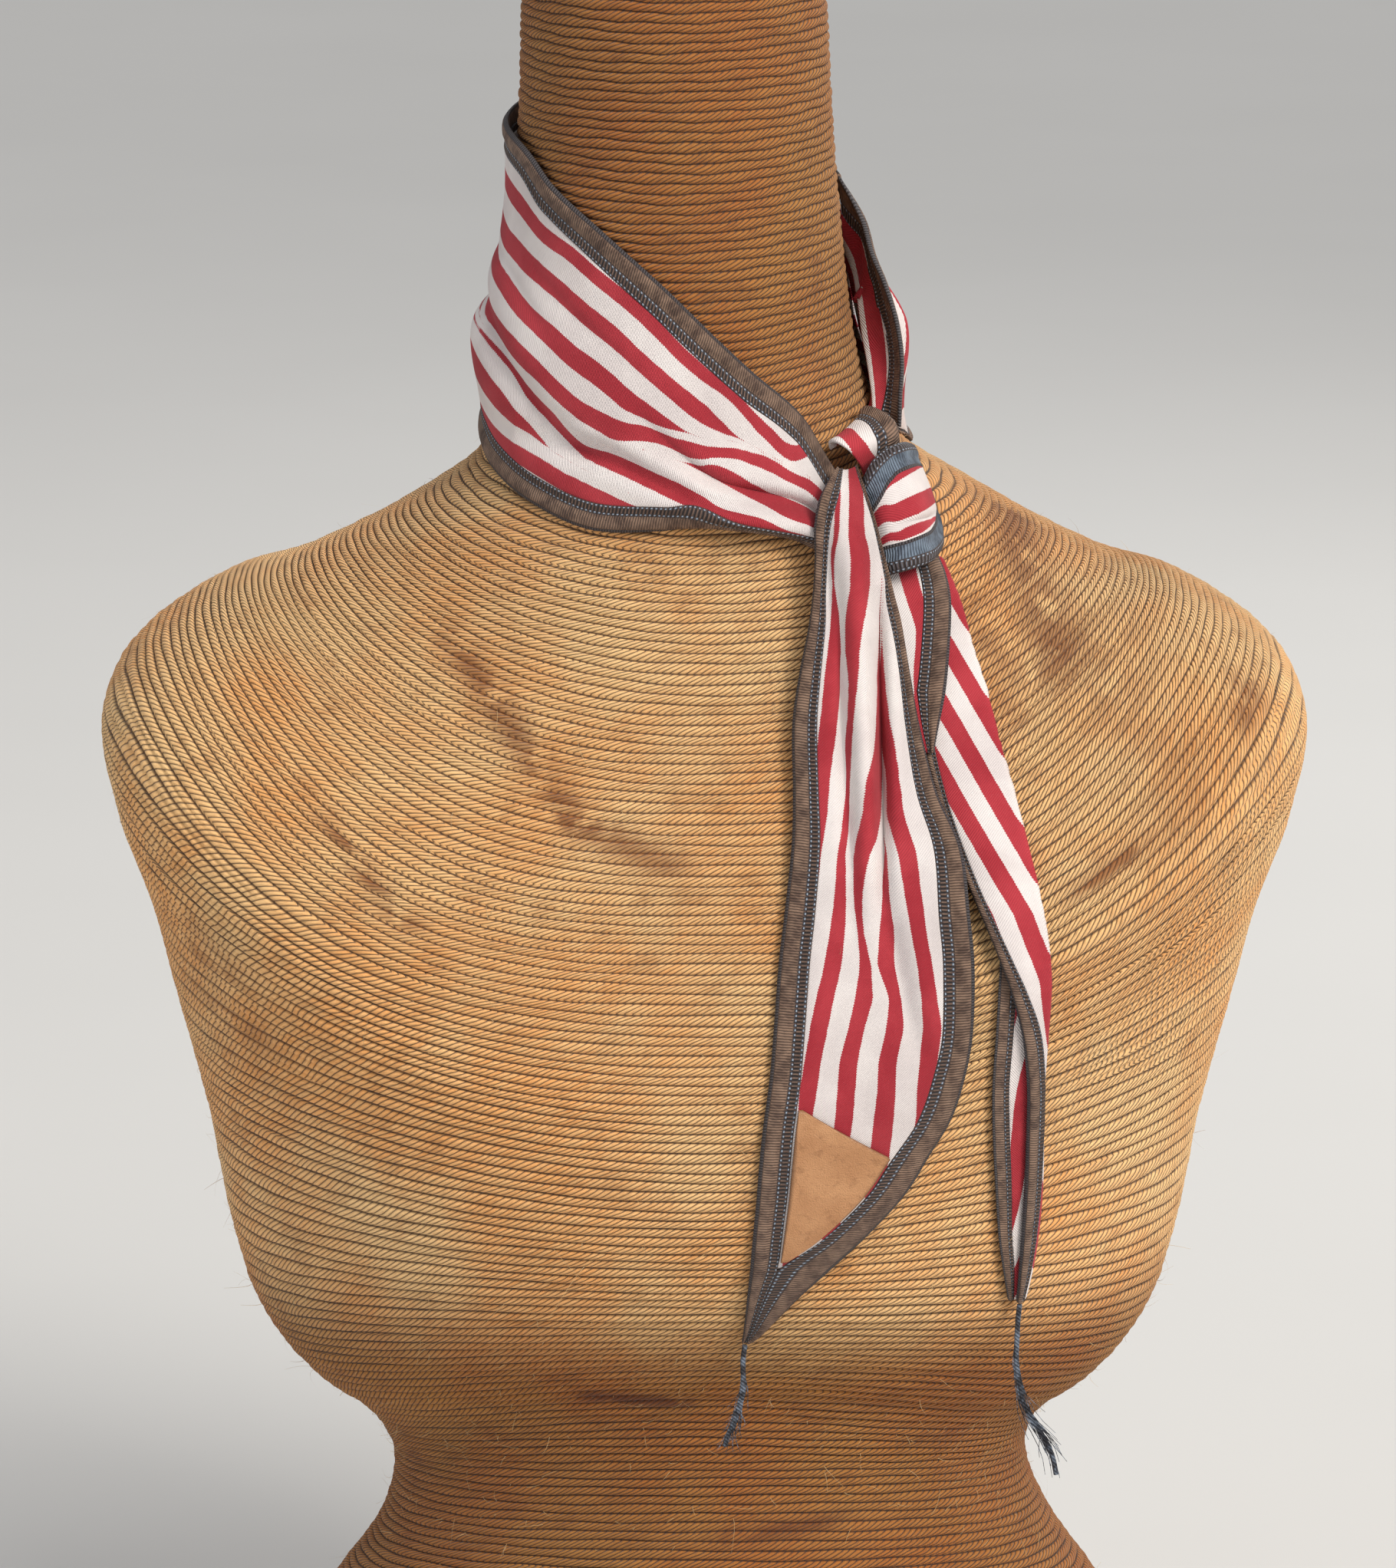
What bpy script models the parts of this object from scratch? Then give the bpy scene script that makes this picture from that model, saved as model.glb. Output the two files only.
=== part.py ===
"""Neck scarf knotted round a limbless dress form, in metres, +Z up.

The front faces -Y. The origin is on the floor, below the middle of the whole
part's outline. The scarf is one slim striped kerchief: it runs from the knot
round the neck and back, and its two ends hang down the chest.
"""

import bmesh
import bpy
import numpy as np

MM = 0.001
CLOTH_WALL = 1.1 * MM
BORDER_WALL = 1.8 * MM
BORDER_WIDTH = 9.0 * MM
SEAM_GAP = 0.4 * MM
LABEL_WALL = 1.0 * MM
THREAD_DIAMETER = 2.2 * MM
# The tables are measured from the neck's middle plane. The middle of the whole
# part's outline lies this far in front of it.
TO_MIDDLE = np.array([0, 11.84, 0]) * MM

CLOTH_COLOUR = (0.78, 0.72, 0.72, 1.0)
BORDER_COLOUR = (0.13, 0.09, 0.075, 1.0)
LEATHER_COLOUR = (0.46, 0.22, 0.09, 1.0)
TWINE_COLOUR = (0.50, 0.27, 0.10, 1.0)
THREAD_COLOUR = (0.12, 0.13, 0.17, 1.0)

# The form is lofted through loops that follow its twine, from the neck down.
# Columns, in mm: half width and height at the side, depth and height at the
# front, depth and height at the back, middle's shift to the right, roundness
# (1 an ellipse, less is squarer).
LOOPS = {
    "neck_top": (47, 650, -46, 650, 47, 650, -11, 1.00),
    "neck_upper": (48, 613, -47, 613, 49, 613, -9.5, 1.00),
    "neck_middle": (50.5, 560, -48, 558, 53, 562, -8.8, 1.00),
    "neck_lower": (56, 500, -53, 494, 59, 503, -7, 1.00),
    "neck_root": (67, 472, -60, 461, 66, 480, -3, 0.98),
    "neck_flare": (90, 455, -67, 437, 72, 460, 0, 0.92),
    "shoulder_inner": (127, 436, -82, 388, 80, 424, 0, 0.82),
    "shoulder_outer": (153, 427, -96, 352, 87, 392, 0, 0.66),
    "shoulder_tip": (180, 409, -107, 321, 93, 364, 0, 0.66),
    "arm_top": (192, 388, -110, 310, 95, 352, 0, 0.72),
    "arm_upper": (188, 358, -113, 297, 96, 338, 0, 0.80),
    "arm_middle": (178, 327, -116, 283, 95, 318, 0, 0.88),
    "arm_lower": (170, 292, -117, 268, 92, 290, 0, 0.96),
    "bust": (161, 255, -115, 246, 86, 254, 0, 0.98),
    "bust_lower": (155, 221, -109, 226, 78, 221, 0, 0.96),
    "under_bust": (146, 190, -100, 208, 71, 190, 0, 0.96),
    "under_fold": (130, 167, -88, 190, 66, 168, 0, 0.98),
    "crease": (110, 151, -77, 172, 62, 153, 0, 1.00),
    "waist": (104, 134, -70, 146, 60, 135, 2, 1.00),
    "hip_upper": (111, 112, -71, 121, 62, 113, 4, 1.00),
    "hip": (126, 90, -76, 96, 69, 91, 4, 1.00),
    "hip_lower": (144, 58, -86, 61, 80, 58, 3, 1.00),
    "hem_upper": (155, 27, -94, 28, 89, 27, 2, 1.00),
    "foot": (159, 0, -97, 0, 93, 0, 2, 1.00),
}
NECK_AXIS_X = -6 * MM
FORM_RINGS = 54
FORM_SIDES = 40
CAP_RISE = 8 * MM

# The band round the neck. Columns: angle (degrees from the front, + to the
# right), height and distance off the form (mm) of its top edge, the distances
# off at a third and two thirds of its width, then angle, height and distance
# of its hem, and how much the hem is turned in under the band (0 to 1). It runs
# from the knot over the front, left and back.
BAND = {
    "at_knot": (44, 474, 5, 9, 10, 34, 453, 1.6, 1),
    "beside_knot": (38, 490, 3.5, 8.5, 11, 27, 457, 1.6, 1),
    "front_right": (22, 505, 2.5, 7, 10.5, 9, 460, 1.6, 0.9),
    "front": (10, 516, 1.5, 5.5, 8.5, -7, 457, 1.2, 0.4),
    "front_left": (-8, 532, 1.2, 4.5, 7, -27, 456, 1.2, 0),
    "left_front": (-30, 548, 1.2, 3.5, 7, -48, 462, 1.2, 0),
    "left_side": (-50, 560, 1.5, 2.6, 8.5, -67, 469, 1.5, 0),
    "left": (-67, 571, 2.5, 2.6, 10.5, -93, 478, 3, 0),
    "left_back": (-100, 577, 3, 2.6, 9, -118, 478, 2.5, 0),
    "back_left": (-140, 580, 2, 3, 5, -150, 476, 1.5, 0),
    "back": (-180, 576, 1.5, 3, 4.5, -182, 474, 1.5, 0),
    "back_right": (-218, 566, 1.5, 3, 5, -214, 470, 1.5, 0),
    "right_back": (-250, 556, 2, 3.5, 6, -244, 466, 1.5, 0),
}
# Folds along the band. Columns: rows where it starts and ends, its place
# across the width at its start, middle and end, rise (mm, - is a trough), and
# its reach across the width towards the top edge and towards the hem.
BAND_FOLDS = {
    "upper_fold": (-1.0, 4.0, 0.30, 0.44, 0.50, -5.0, 0.045, 0.10),
    "lower_fold": (1.6, 5.6, 0.62, 0.70, 0.80, -4.5, 0.10, 0.045),
    "side_crease": (4.2, 9.4, 0.77, 0.60, 0.55, -4.0, 0.06, 0.045),
    "nape_fold": (8.6, 12.4, 0.72, 0.60, 0.52, -2.2, 0.06, 0.06),
    "collar_roll": (9.0, 12.6, 0.22, 0.26, 0.30, 1.6, 0.08, 0.08),
}

# The strand from behind the neck's right side down to the knot. Columns, in mm:
# x, y and z of its top edge, of its border's seam, of its inner turn beside the
# neck, of its outer turn and of its hem.
STRAND = {
    "behind_neck": (41.4, 17.3, 556, 42.4, 18.2, 546, 44.9, 20.6, 526,
                    51.3, 25.5, 496, 65.4, 34.7, 466),
    "beside_neck": (48.9, 8, 542.7, 49.3, 15.4, 537.7, 47.1, 13.2, 521,
                    54.6, 17.4, 503, 67.6, 26, 467),
    "standing_off": (52.2, 0, 532.6, 52.4, 7.4, 527.3, 48.0, 9.5, 516,
                     55.0, 17, 513, 68.3, 21, 467.5),
    "turning": (56.2, -6, 524.2, 55.0, 2, 519.7, 48.2, 6, 516,
                57.4, 11.5, 519.5, 67.6, 17.5, 469.5),
    "widening": (60.0, -12, 513, 57.2, -4, 510.3, 49.6, 2, 507,
                 64.6, 9, 507.2, 66.2, 14.5, 472),
    "widest": (61.6, -19, 502.1, 58.2, -11, 500.6, 51.2, -6.5, 499.2,
               65.4, 6, 496.4, 64.4, 11.5, 475),
    "narrowing": (61.0, -26, 491.3, 57.8, -19, 491.1, 52.6, -15.5, 490.4,
                  64.0, -2, 485.6, 63.2, 8.5, 477.5),
    "into_knot": (60.9, -30, 481.8, 57.6, -25, 483.5, 52.8, -22.5, 485,
                  63.4, -9, 478.5, 62.6, 5.5, 479.5),
}

# The loop over the knot's top, from behind it down to the wrap. Columns, in
# mm: x, y and z of its left and of its right edge, crown.
LOOP_OVER = {
    "behind": (39.4, -45.0, 479.0, 52.6, -25.5, 485.5, 0.5),
    "crest": (39.0, -46.5, 481.3, 51.5, -25.5, 488.3, 1.5),
    "top": (40.9, -49.5, 482.1, 55.6, -31.5, 487.9, 2.5),
    "front": (44.9, -50.5, 479.7, 58.8, -37, 486.2, 2.5),
    "falling": (47.6, -48.5, 475.9, 60.2, -37, 481.0, 1.5),
    "under_wrap": (49.6, -45, 470.5, 60.4, -34, 476.8, 0.5),
}

# The wrap round the knot, from behind it to under the front tail. Columns, in
# mm: x, y and z of its top and of its bottom edge, crown.
WRAP = {
    "behind": (63.6, -18, 471.5, 72.6, -47.0, 449.5, 3),
    "turn": (63.8, -27, 476.6, 72.8, -51, 448.0, 2.5),
    "rounding": (62.4, -38, 479.7, 70.8, -59.5, 447.3, 2.5),
    "right": (59.2, -46, 480.8, 68.2, -65, 447.0, 2.5),
    "crown": (55.2, -49, 479.2, 64.4, -68, 446.2, 2),
    "middle": (51.8, -51.5, 476.2, 60.2, -68, 445.0, 1.5),
    "left": (49.0, -51.0, 469.4, 56.2, -66, 443.3, 1),
    "under_tail": (47.6, -48.5, 463.1, 54.0, -64.5, 441.2, 0.5),
}
WRAP_CREASE = (0.8, 5.2, 0.66, 0.63, 0.60, -1.8, 0.05, 0.05)

# The front tail. Columns, in mm: height, left edge, right edge, widths of the
# left and the right border, distance off the form at the left edge, the middle
# and the right edge.
FRONT_TAIL = {
    "knot_top": (474.0, 40.5, 46.6, 2.4, 0.8, 13, 15, 13),
    "knot_upper": (471.0, 37.6, 47.8, 4.6, 1.0, 15, 18, 16.5),
    "knot": (466.5, 35.2, 49.4, 6.1, 1.1, 15, 20, 17),
    "below_knot": (459.0, 33.8, 52.2, 5.8, 1.3, 14, 20.5, 17),
    "gathered": (450.0, 34.0, 55.0, 4.4, 1.8, 12, 20, 16),
    "spreading": (440.5, 33.5, 57.8, 4.0, 2.8, 10, 17, 14),
    "upper": (429.5, 32.1, 60.7, 5.2, 3.6, 8, 14, 11.8),
    "chest_top": (415.0, 29.2, 63.4, 7.0, 4.0, 6, 11.5, 10.4),
    "chest": (400.0, 27.1, 66.3, 8.0, 4.6, 5, 10, 9.8),
    "crossing": (381.0, 27.3, 71.6, 8.2, 6.4, 4, 8.5, 9.4),
    "fuller": (365.0, 26.9, 79.1, 9.0, 8.6, 3, 7, 8.4),
    "wide": (345.0, 24.7, 81.7, 9.6, 9.6, 2, 5, 6.6),
    "widest": (329.7, 22.8, 83.1, 9.8, 9.8, 1.6, 3.2, 3.8),
    "curving": (309.2, 21.2, 82.7, 9.8, 9.9, 1.2, 2.0, 1.8),
    "curve": (295.5, 20.0, 80.5, 9.7, 10.4, 1.2, 1.6, 1.4),
    "label_top": (281.5, 18.1, 76.3, 9.6, 11.2, 1.2, 1.5, 1.4),
    "label": (269.5, 16.9, 69.5, 9.6, 12.2, 1.2, 1.5, 1.4),
    "label_low": (257.0, 16.0, 62.0, 9.4, 13.0, 1.2, 1.5, 1.4),
    "pointing": (244.0, 14.9, 50.4, 9.0, 14.5, 1.2, 1.5, 1.4),
    "meeting": (234.0, 14.2, 40.4, 8.3, 17.3, 1.2, 1.4, 1.4),
    "tip_upper": (223.0, 13.3, 29.6, 5.2, 11.1, 1.2, 1.3, 1.4),
    "tip": (209.5, 12.2, 18.6, 2.0, 4.4, 1.2, 1.2, 1.3),
    "point": (206.0, 11.7, 14.2, 0.8, 1.7, 1.2, 1.2, 1.2),
}
MEETING_ROW = 19.0
# Folds down the front tail. Columns: height where it starts and ends, its
# place (mm right) at its start, middle and end, rise, reach left and right.
FRONT_TAIL_FOLDS = {
    "slit": (442, 345, 53.0, 54.8, 55.5, -8.0, 3.0, 2.4),
    "ridge": (468, 352, 47.0, 48.5, 50.0, 2.6, 5.0, 4.0),
    "furrow": (466, 330, 38.5, 43.0, 47.0, -3.4, 3.2, 3.0),
    "low_furrow": (366, 300, 52.0, 58.5, 66.0, -1.8, 4.0, 4.0),
    "low_ridge": (360, 296, 60.0, 67.0, 74.0, 1.2, 4.5, 4.5),
}

# The rear tail's upper turned-over edge, right of the front tail. Columns as
# the front tail's.
REAR_TURN = {
    "under_wrap": (447.0, 53.1, 72.2, 7.0, 6.6, 5.4),
    "below_wrap": (441.5, 54.3, 74.9, 7.0, 7.2, 7.6),
    "upper": (434.0, 56.2, 76.4, 6.6, 7.8, 9.2),
    "middle": (421.0, 59.3, 75.8, 6.4, 7.4, 8.6),
    "narrow": (409.0, 62.1, 74.5, 6.2, 7.0, 8.0),
    "closing": (399.2, 65.2, 72.4, 6.2, 6.7, 7.3),
    "end": (391.5, 68.4, 70.8, 6.3, 6.5, 6.7),
}

# The rear tail. Columns, in mm: height, front left edge, right turn, hidden
# left edge behind; widths of the border that shows at the front edge and of the
# one behind; distances off the form of the front edge, the front's middle, the
# right turn and the hidden edge.
REAR_TAIL = {
    "under_wrap": (445.5, 50.8, 73.0, 64.6, 9, 6, 3.4, 3.8, 3.2, 2.8),
    "below_wrap": (433, 54.1, 78.6, 68, 9, 6, 3.7, 4.2, 3.2, 2.8),
    "upper": (419.5, 58.4, 82.6, 70, 8, 6, 3.8, 4.2, 3.2, 2.8),
    "chest_top": (408.2, 62.1, 86.6, 72.2, 6.5, 6, 3.8, 4.2, 3.2, 2.8),
    "chest": (397.5, 65.9, 89.4, 74, 4.5, 6, 3.8, 4.2, 3.2, 2.8),
    "crossing": (389.8, 68.2, 91.7, 76.5, 3.4, 6, 3.8, 4.2, 3.2, 2.8),
    "below_crossing": (378, 71.7, 95.3, 79, 3.2, 6, 3.4, 4.4, 2.9, 2.3),
    "middle": (367.2, 75.5, 98.1, 82.5, 3.2, 6, 3.4, 4.4, 2.9, 2.3),
    "slanting": (353.9, 80.8, 101.6, 87, 3.4, 6, 3.4, 4.4, 2.9, 2.3),
    "low": (340.8, 86.8, 104.4, 90.5, 3.6, 6, 3.4, 4.4, 2.9, 2.3),
    "turning": (330.5, 91.2, 105.8, 91, 4.2, 6, 3.4, 4.4, 2.9, 2.3),
    "turned": (321, 94.6, 106.2, 90.6, 5, 6, 3.4, 4.4, 2.9, 2.3),
    "narrow": (307.5, 98.0, 105.5, 90, 5.8, 6, 3.4, 4.2, 2.9, 2.3),
    "slim": (291, 99.8, 104.6, 89.2, 6, 6, 3.4, 4, 2.9, 2.3),
    "slimmer": (274.7, 100.0, 104.6, 89.6, 6, 6.2, 3.4, 3.9, 2.9, 2.3),
    "pointing": (255.9, 99.8, 104.8, 90.8, 5.8, 6, 3.4, 3.8, 2.9, 2.3),
    "tip_upper": (239.8, 99.2, 104.0, 92.0, 5.4, 5.2, 3.4, 3.7, 2.9, 2.3),
    "tip": (226.4, 98.6, 102.4, 93.8, 4.2, 4, 3.4, 3.7, 2.9, 2.3),
    "point": (214.5, 98.1, 100.2, 95.8, 2.2, 2, 3.4, 3.6, 2.9, 2.3),
}

# The sewing threads' tails below the two points: x, y and z of each place along
# them, in mm.
FRONT_THREAD = (
    (12.7, -100.9, 204.7), (12.1, -101.2, 199.6), (12.2, -101.4, 194.5),
    (12.3, -101.4, 190.0), (11.4, -101.2, 186.0), (10.2, -101.0, 182.0),
    (8.8, -100.8, 178.2), (7.4, -100.7, 174.6), (6.4, -100.6, 171.2),
)
REAR_THREAD = (
    (99.2, -86.5, 213.3), (98.7, -87.0, 208.0), (98.5, -87.2, 202.4),
    (98.3, -87.5, 196.6), (98.7, -87.2, 191.6), (99.6, -86.7, 186.2),
    (100.8, -86.2, 180.6), (103.0, -86.0, 175.6), (106.0, -86.0, 171.0),
    (108.6, -86.0, 166.4), (110.4, -86.2, 161.6), (111.4, -86.4, 156.6),
)

# The leather label on the front tail: x and height of its top edge's ends and of
# its point, in mm.
LABEL_TOP_LEFT = (26.8, 286.7)
LABEL_TOP_RIGHT = (58.2, 269.0)
LABEL_POINT_HEIGHT = 236.5


def smooth_rows(rows, place):
    """Each column at a place down the rows: a Catmull-Rom curve through them."""
    rows = np.asarray(rows, float)
    last = len(rows) - 1
    place = np.clip(np.asarray(place, float), 0, last)
    first = np.minimum(place.astype(int), last - 1)
    part = (place - first)[..., None]
    before, start = rows[np.maximum(first - 1, 0)], rows[first]
    end, after = rows[first + 1], rows[np.minimum(first + 2, last)]
    curve = 2 * before - 5 * start + 4 * end - after
    curve = curve + part * (3 * (start - end) + after - before)
    return start + 0.5 * part * (end - before + part * curve)


def columns(table, scales=MM):
    """A table's numbers as an array, lengths turned into metres."""
    return np.array(list(table.values()), float) * scales


LOOP_ROWS = columns(LOOPS, [MM] * 7 + [1])


def loop_point(place, turn):
    """The form's surface: a loop down the rows, an angle round from the front."""
    half, side_z, front_y, front_z, back_y, back_z, middle, power = np.moveaxis(
        smooth_rows(LOOP_ROWS, place), -1, 0
    )
    sine, cosine = np.sin(turn), np.cos(turn)
    x = middle + half * np.sign(sine) * np.abs(sine) ** power
    y = np.where(cosine > 0, front_y, back_y) * np.abs(cosine) ** power
    end_z = np.where(cosine > 0, front_z, back_z)
    return np.stack([x, y, end_z + (side_z - end_z) * sine**2], -1)


def loop_at_height(height_of, z, shape):
    """The place down the rows where height_of(place) is z, by halving."""
    low = np.zeros(shape)
    high = low + len(LOOP_ROWS) - 1
    for _ in range(34):
        place = (low + high) / 2
        above = height_of(place) > z
        low, high = np.where(above, place, low), np.where(above, high, place)
    return (low + high) / 2


def front_depth(x, z):
    """y of the form's front at (x, z)."""
    x, z = np.broadcast_arrays(np.asarray(x, float), np.asarray(z, float))

    def sine_at(place):
        rows = np.moveaxis(smooth_rows(LOOP_ROWS, place), -1, 0)
        side = np.clip(np.abs(x - rows[6]) / rows[0], 0, 1) ** (1 / rows[7])
        return side, rows

    def height_of(place):
        side, rows = sine_at(place)
        return rows[3] + (rows[1] - rows[3]) * side**2

    side, rows = sine_at(loop_at_height(height_of, z, x.shape))
    return rows[2] * np.sqrt(np.maximum(1 - side**2, 0)) ** rows[7]


def neck_radius(angle, z):
    """Distance from the neck's upright axis to the form, towards an angle."""
    angle, z = np.broadcast_arrays(np.asarray(angle, float), np.asarray(z, float))
    across, along = np.sin(angle), np.cos(angle)

    def reach_at(place):
        rows = np.moveaxis(smooth_rows(LOOP_ROWS, place), -1, 0)
        depth = np.where(along > 0, -rows[2], rows[4])
        shift = NECK_AXIS_X - rows[6]
        a = (across / rows[0]) ** 2 + (along / depth) ** 2
        b = 2 * shift * across / rows[0] ** 2
        c = (shift / rows[0]) ** 2 - 1
        reach = (np.sqrt(b * b - 4 * a * c) - b) / (2 * a)
        side = np.clip(((shift + reach * across) / rows[0]) ** 2, 0, 1)
        end_z = np.where(along > 0, rows[3], rows[5])
        return reach, end_z + (rows[1] - end_z) * side

    place = loop_at_height(lambda where: reach_at(where)[1], z, angle.shape)
    return reach_at(place)[0]


def round_neck(angle, z, off):
    """A point off the neck, from its angle (degrees), height and distance."""
    turn = np.radians(angle)
    reach = neck_radius(turn, z) + off
    return np.stack([NECK_AXIS_X + reach * np.sin(turn), -reach * np.cos(turn), z], -1)


def down_front(x, z, off):
    """A point off the form's front."""
    return np.stack([x, front_depth(x, z) - off, z], -1)


def fold_rise(fold, along, across):
    """A soft ridge or trough: a bell across it, swelling and dying along it."""
    start, end, first, middle, last, rise, before, after = fold
    part = np.clip((along - start) / (end - start), 0, 1)
    centre = first + (last - first) * part + 4 * part * (1 - part) * (
        middle - (first + last) / 2
    )
    reach = np.where(across < centre, before, after)
    swell = np.sin(np.pi * part) ** 0.7
    return rise * MM * swell * np.exp(-(((across - centre) / reach) ** 2))


def spread(values, across):
    """Values at even places across the width, joined by a smooth curve."""
    rows = np.moveaxis(np.asarray(values), 0, 1)
    count = rows.shape[1] - 1
    return np.stack(
        [smooth_rows(row[:, None], across * count)[..., 0] for row in rows]
    )


def band_surface(place, across):
    """The band round the neck: rows down, places across."""
    rows = smooth_rows(columns(BAND, [1, MM, MM, MM, MM, 1, MM, MM, 1]), place)
    top_angle, top_z, top_off, upper_off, lower_off, hem_angle, hem_z, hem_off = rows.T[:8]
    down = across + 1.3 * rows[:, 8:] * across * (1 - across)
    angle = top_angle[:, None] + (hem_angle - top_angle)[:, None] * down
    z = top_z[:, None] + (hem_z - top_z)[:, None] * down
    off = spread([top_off, upper_off, lower_off, hem_off], across)
    for fold in BAND_FOLDS.values():
        off = off + fold_rise(fold, place[:, None], across[None, :])
    return round_neck(angle, z, np.maximum(off, 0.8 * MM))


def strand_surface(place, across):
    """The strand at the neck's right, through its five lines."""
    rows = smooth_rows(columns(STRAND), place)
    axes = [spread(list(rows[:, i::3].T), across) for i in range(3)]
    return np.stack(axes, -1)


def knot_surface(table, place, across, fold=None):
    """A crowned stretch of the knot, between its two edges."""
    rows = smooth_rows(columns(table), place)
    first, last = rows[:, None, :3], rows[:, None, 3:6]
    points = first + (last - first) * across[None, :, None]
    rise = rows[:, 6:] * np.sin(np.pi * across) ** 0.8
    if fold:
        rise = rise + fold_rise(fold, place[:, None], across[None, :])
    outward = points - [NECK_AXIS_X, 0, 0]
    outward[..., 2] = 0
    outward /= np.linalg.norm(outward, axis=-1, keepdims=True)
    return points + outward * rise[..., None]


def front_surface(table, place, across, folds=()):
    """A tail down the front, from its left to its right edge."""
    rows = smooth_rows(columns(table), place).T
    z, left, right = rows[:3]
    left_off, middle_off, right_off = rows[-3:]
    x = left[:, None] + (right - left)[:, None] * across
    z = np.broadcast_to(z[:, None], x.shape)
    off = spread([left_off, middle_off, right_off], across)
    for fold in folds:
        off = off + fold_rise(fold, z / MM, x / MM)
    return down_front(x, z, np.maximum(off, 0.7 * MM))


def rear_surface(place, across):
    """The rear tail: its front, its right turn and its layer behind."""
    rows = smooth_rows(columns(REAR_TAIL), place).T
    z, front, turn, hidden = rows[:4]
    front_off, middle_off, turn_off, hidden_off = rows[6:]
    middle = (front + turn) / 2
    back = (turn + hidden) / 2 + 0.15 * (turn - hidden)
    x = spread([front, middle, turn, back, hidden], across)
    off = spread([front_off, middle_off, turn_off, hidden_off, hidden_off], across)
    return down_front(x, np.broadcast_to(z[:, None], x.shape), off)


def arc_lengths(points):
    """Distance across each row of a grid of points."""
    steps = np.linalg.norm(np.diff(points, axis=1), axis=2)
    return np.concatenate([np.zeros((len(points), 1)), np.cumsum(steps, 1)], 1)


def slice_rows(points, start, end, count):
    """Each row of a fine grid, cut from start to end of its own length."""
    arcs = arc_lengths(points)
    part = np.linspace(0, 1, count)
    rows = []
    for row, arc, first, last in zip(points, arcs, start, end):
        wanted = first + (last - first) * part
        rows.append(np.stack([np.interp(wanted, arc, row[:, i]) for i in range(3)], 1))
    return np.array(rows)


def edge_widths(points, width):
    """Border width along each row, wider where the edge slants across it."""
    lengths = arc_lengths(points)[:, -1]
    widths = []
    for side in (0, -1):
        run = np.gradient(points[:, side], axis=0)
        level = points[:, -1] - points[:, 0]
        level = level / np.linalg.norm(level, axis=1)[:, None]
        run = run / np.linalg.norm(run, axis=1)[:, None]
        slant = np.sqrt(np.maximum(1 - np.sum(run * level, 1) ** 2, 0.16))
        widths.append(width / slant)
    return lengths, widths[0], widths[1]


def material(name, colour, roughness):
    made = bpy.data.materials.new(name)
    made.use_nodes = True
    shader = made.node_tree.nodes["Principled BSDF"]
    shader.inputs["Base Color"].default_value = colour
    shader.inputs["Roughness"].default_value = roughness
    shader.inputs["Metallic"].default_value = 0.0
    return made


def new_object(name, mesh, finish):
    mesh.materials.append(finish)
    mesh.shade_smooth()
    made = bpy.data.objects.new(name, mesh)
    parts.objects.link(made)
    return made


def grid_faces(rows, columns_across):
    """Quads of a grid, facing the front where rows run down and columns right."""
    corner = (
        np.arange(rows - 1)[:, None] * columns_across
        + np.arange(columns_across - 1)[None, :]
    ).ravel()
    below = corner + columns_across
    return np.stack([corner, below, below + 1, corner + 1], 1)


def cloth_piece(name, points, wall, finish):
    """An open sheet given its wall on the outer side."""
    rows, across, _ = points.shape
    mesh = bpy.data.meshes.new(name)
    faces = grid_faces(rows, across)
    moved = points.reshape(-1, 3) + TO_MIDDLE
    mesh.from_pydata(moved.tolist(), [], faces.tolist())
    made = new_object(name, mesh, finish)
    solid = made.modifiers.new("wall", "SOLIDIFY")
    solid.thickness = wall
    solid.offset = 1


def bordered_stretch(name, points, across, borders=("top", "hem")):
    """Cloth with a stitched border strip along its edges, each parted by a gap."""
    lengths, first, last = edge_widths(points, BORDER_WIDTH)
    start = first if borders[0] else np.zeros_like(first)
    end = lengths - last if borders[1] else lengths
    room = SEAM_GAP / 2
    inner = slice_rows(points, start + room, end - room, across)
    cloth_piece(name, inner, CLOTH_WALL, cloth_finish)
    if borders[0]:
        strip = slice_rows(points, 0 * start, start - room, 3)
        cloth_piece(f"{name}_{borders[0]}_border", strip, BORDER_WALL, border_finish)
    if borders[1]:
        strip = slice_rows(points, end + room, lengths, 3)
        cloth_piece(f"{name}_{borders[1]}_border", strip, BORDER_WALL, border_finish)


def build_form():
    """The dress form: a closed loft with a domed neck and a flat foot."""
    place = np.linspace(0, len(LOOPS) - 1, FORM_RINGS)
    even = np.linspace(0, 2 * np.pi, FORM_SIDES, endpoint=False)
    power = smooth_rows(LOOP_ROWS, place)[:, 7]
    bunching = 0.2 * np.clip((1 - power) / 0.4, 0, 1)
    turn = even[None, :] - bunching[:, None] * np.sin(4 * even)[None, :]
    rings = loop_point(place[:, None], turn)
    top = rings[0]
    centre = top.mean(0)
    cap = []
    for share, rise in ((0.55, 1.0), (0.86, 0.8)):
        ring = centre + (top - centre) * share
        ring[:, 2] += CAP_RISE * rise
        cap.append(ring)
    rings = np.concatenate([np.array(cap), rings]) + TO_MIDDLE
    model = bmesh.new()
    loops = [[model.verts.new(point) for point in ring] for ring in rings]
    for upper, lower in zip(loops, loops[1:]):
        for i in range(FORM_SIDES):
            after = (i + 1) % FORM_SIDES
            model.faces.new((upper[i], lower[i], lower[after], upper[after]))
    model.faces.new(loops[0])
    model.faces.new(loops[-1][::-1])
    bmesh.ops.recalc_face_normals(model, faces=model.faces)
    mesh = bpy.data.meshes.new("dress_form")
    model.to_mesh(mesh)
    model.free()
    new_object("dress_form", mesh, material("twine", TWINE_COLOUR, 0.85))


def build_band():
    fine = np.linspace(0, 1, 97)
    place = np.linspace(0, len(BAND) - 1, 37)
    bordered_stretch("neck_band", band_surface(place, fine), 16)


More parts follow.
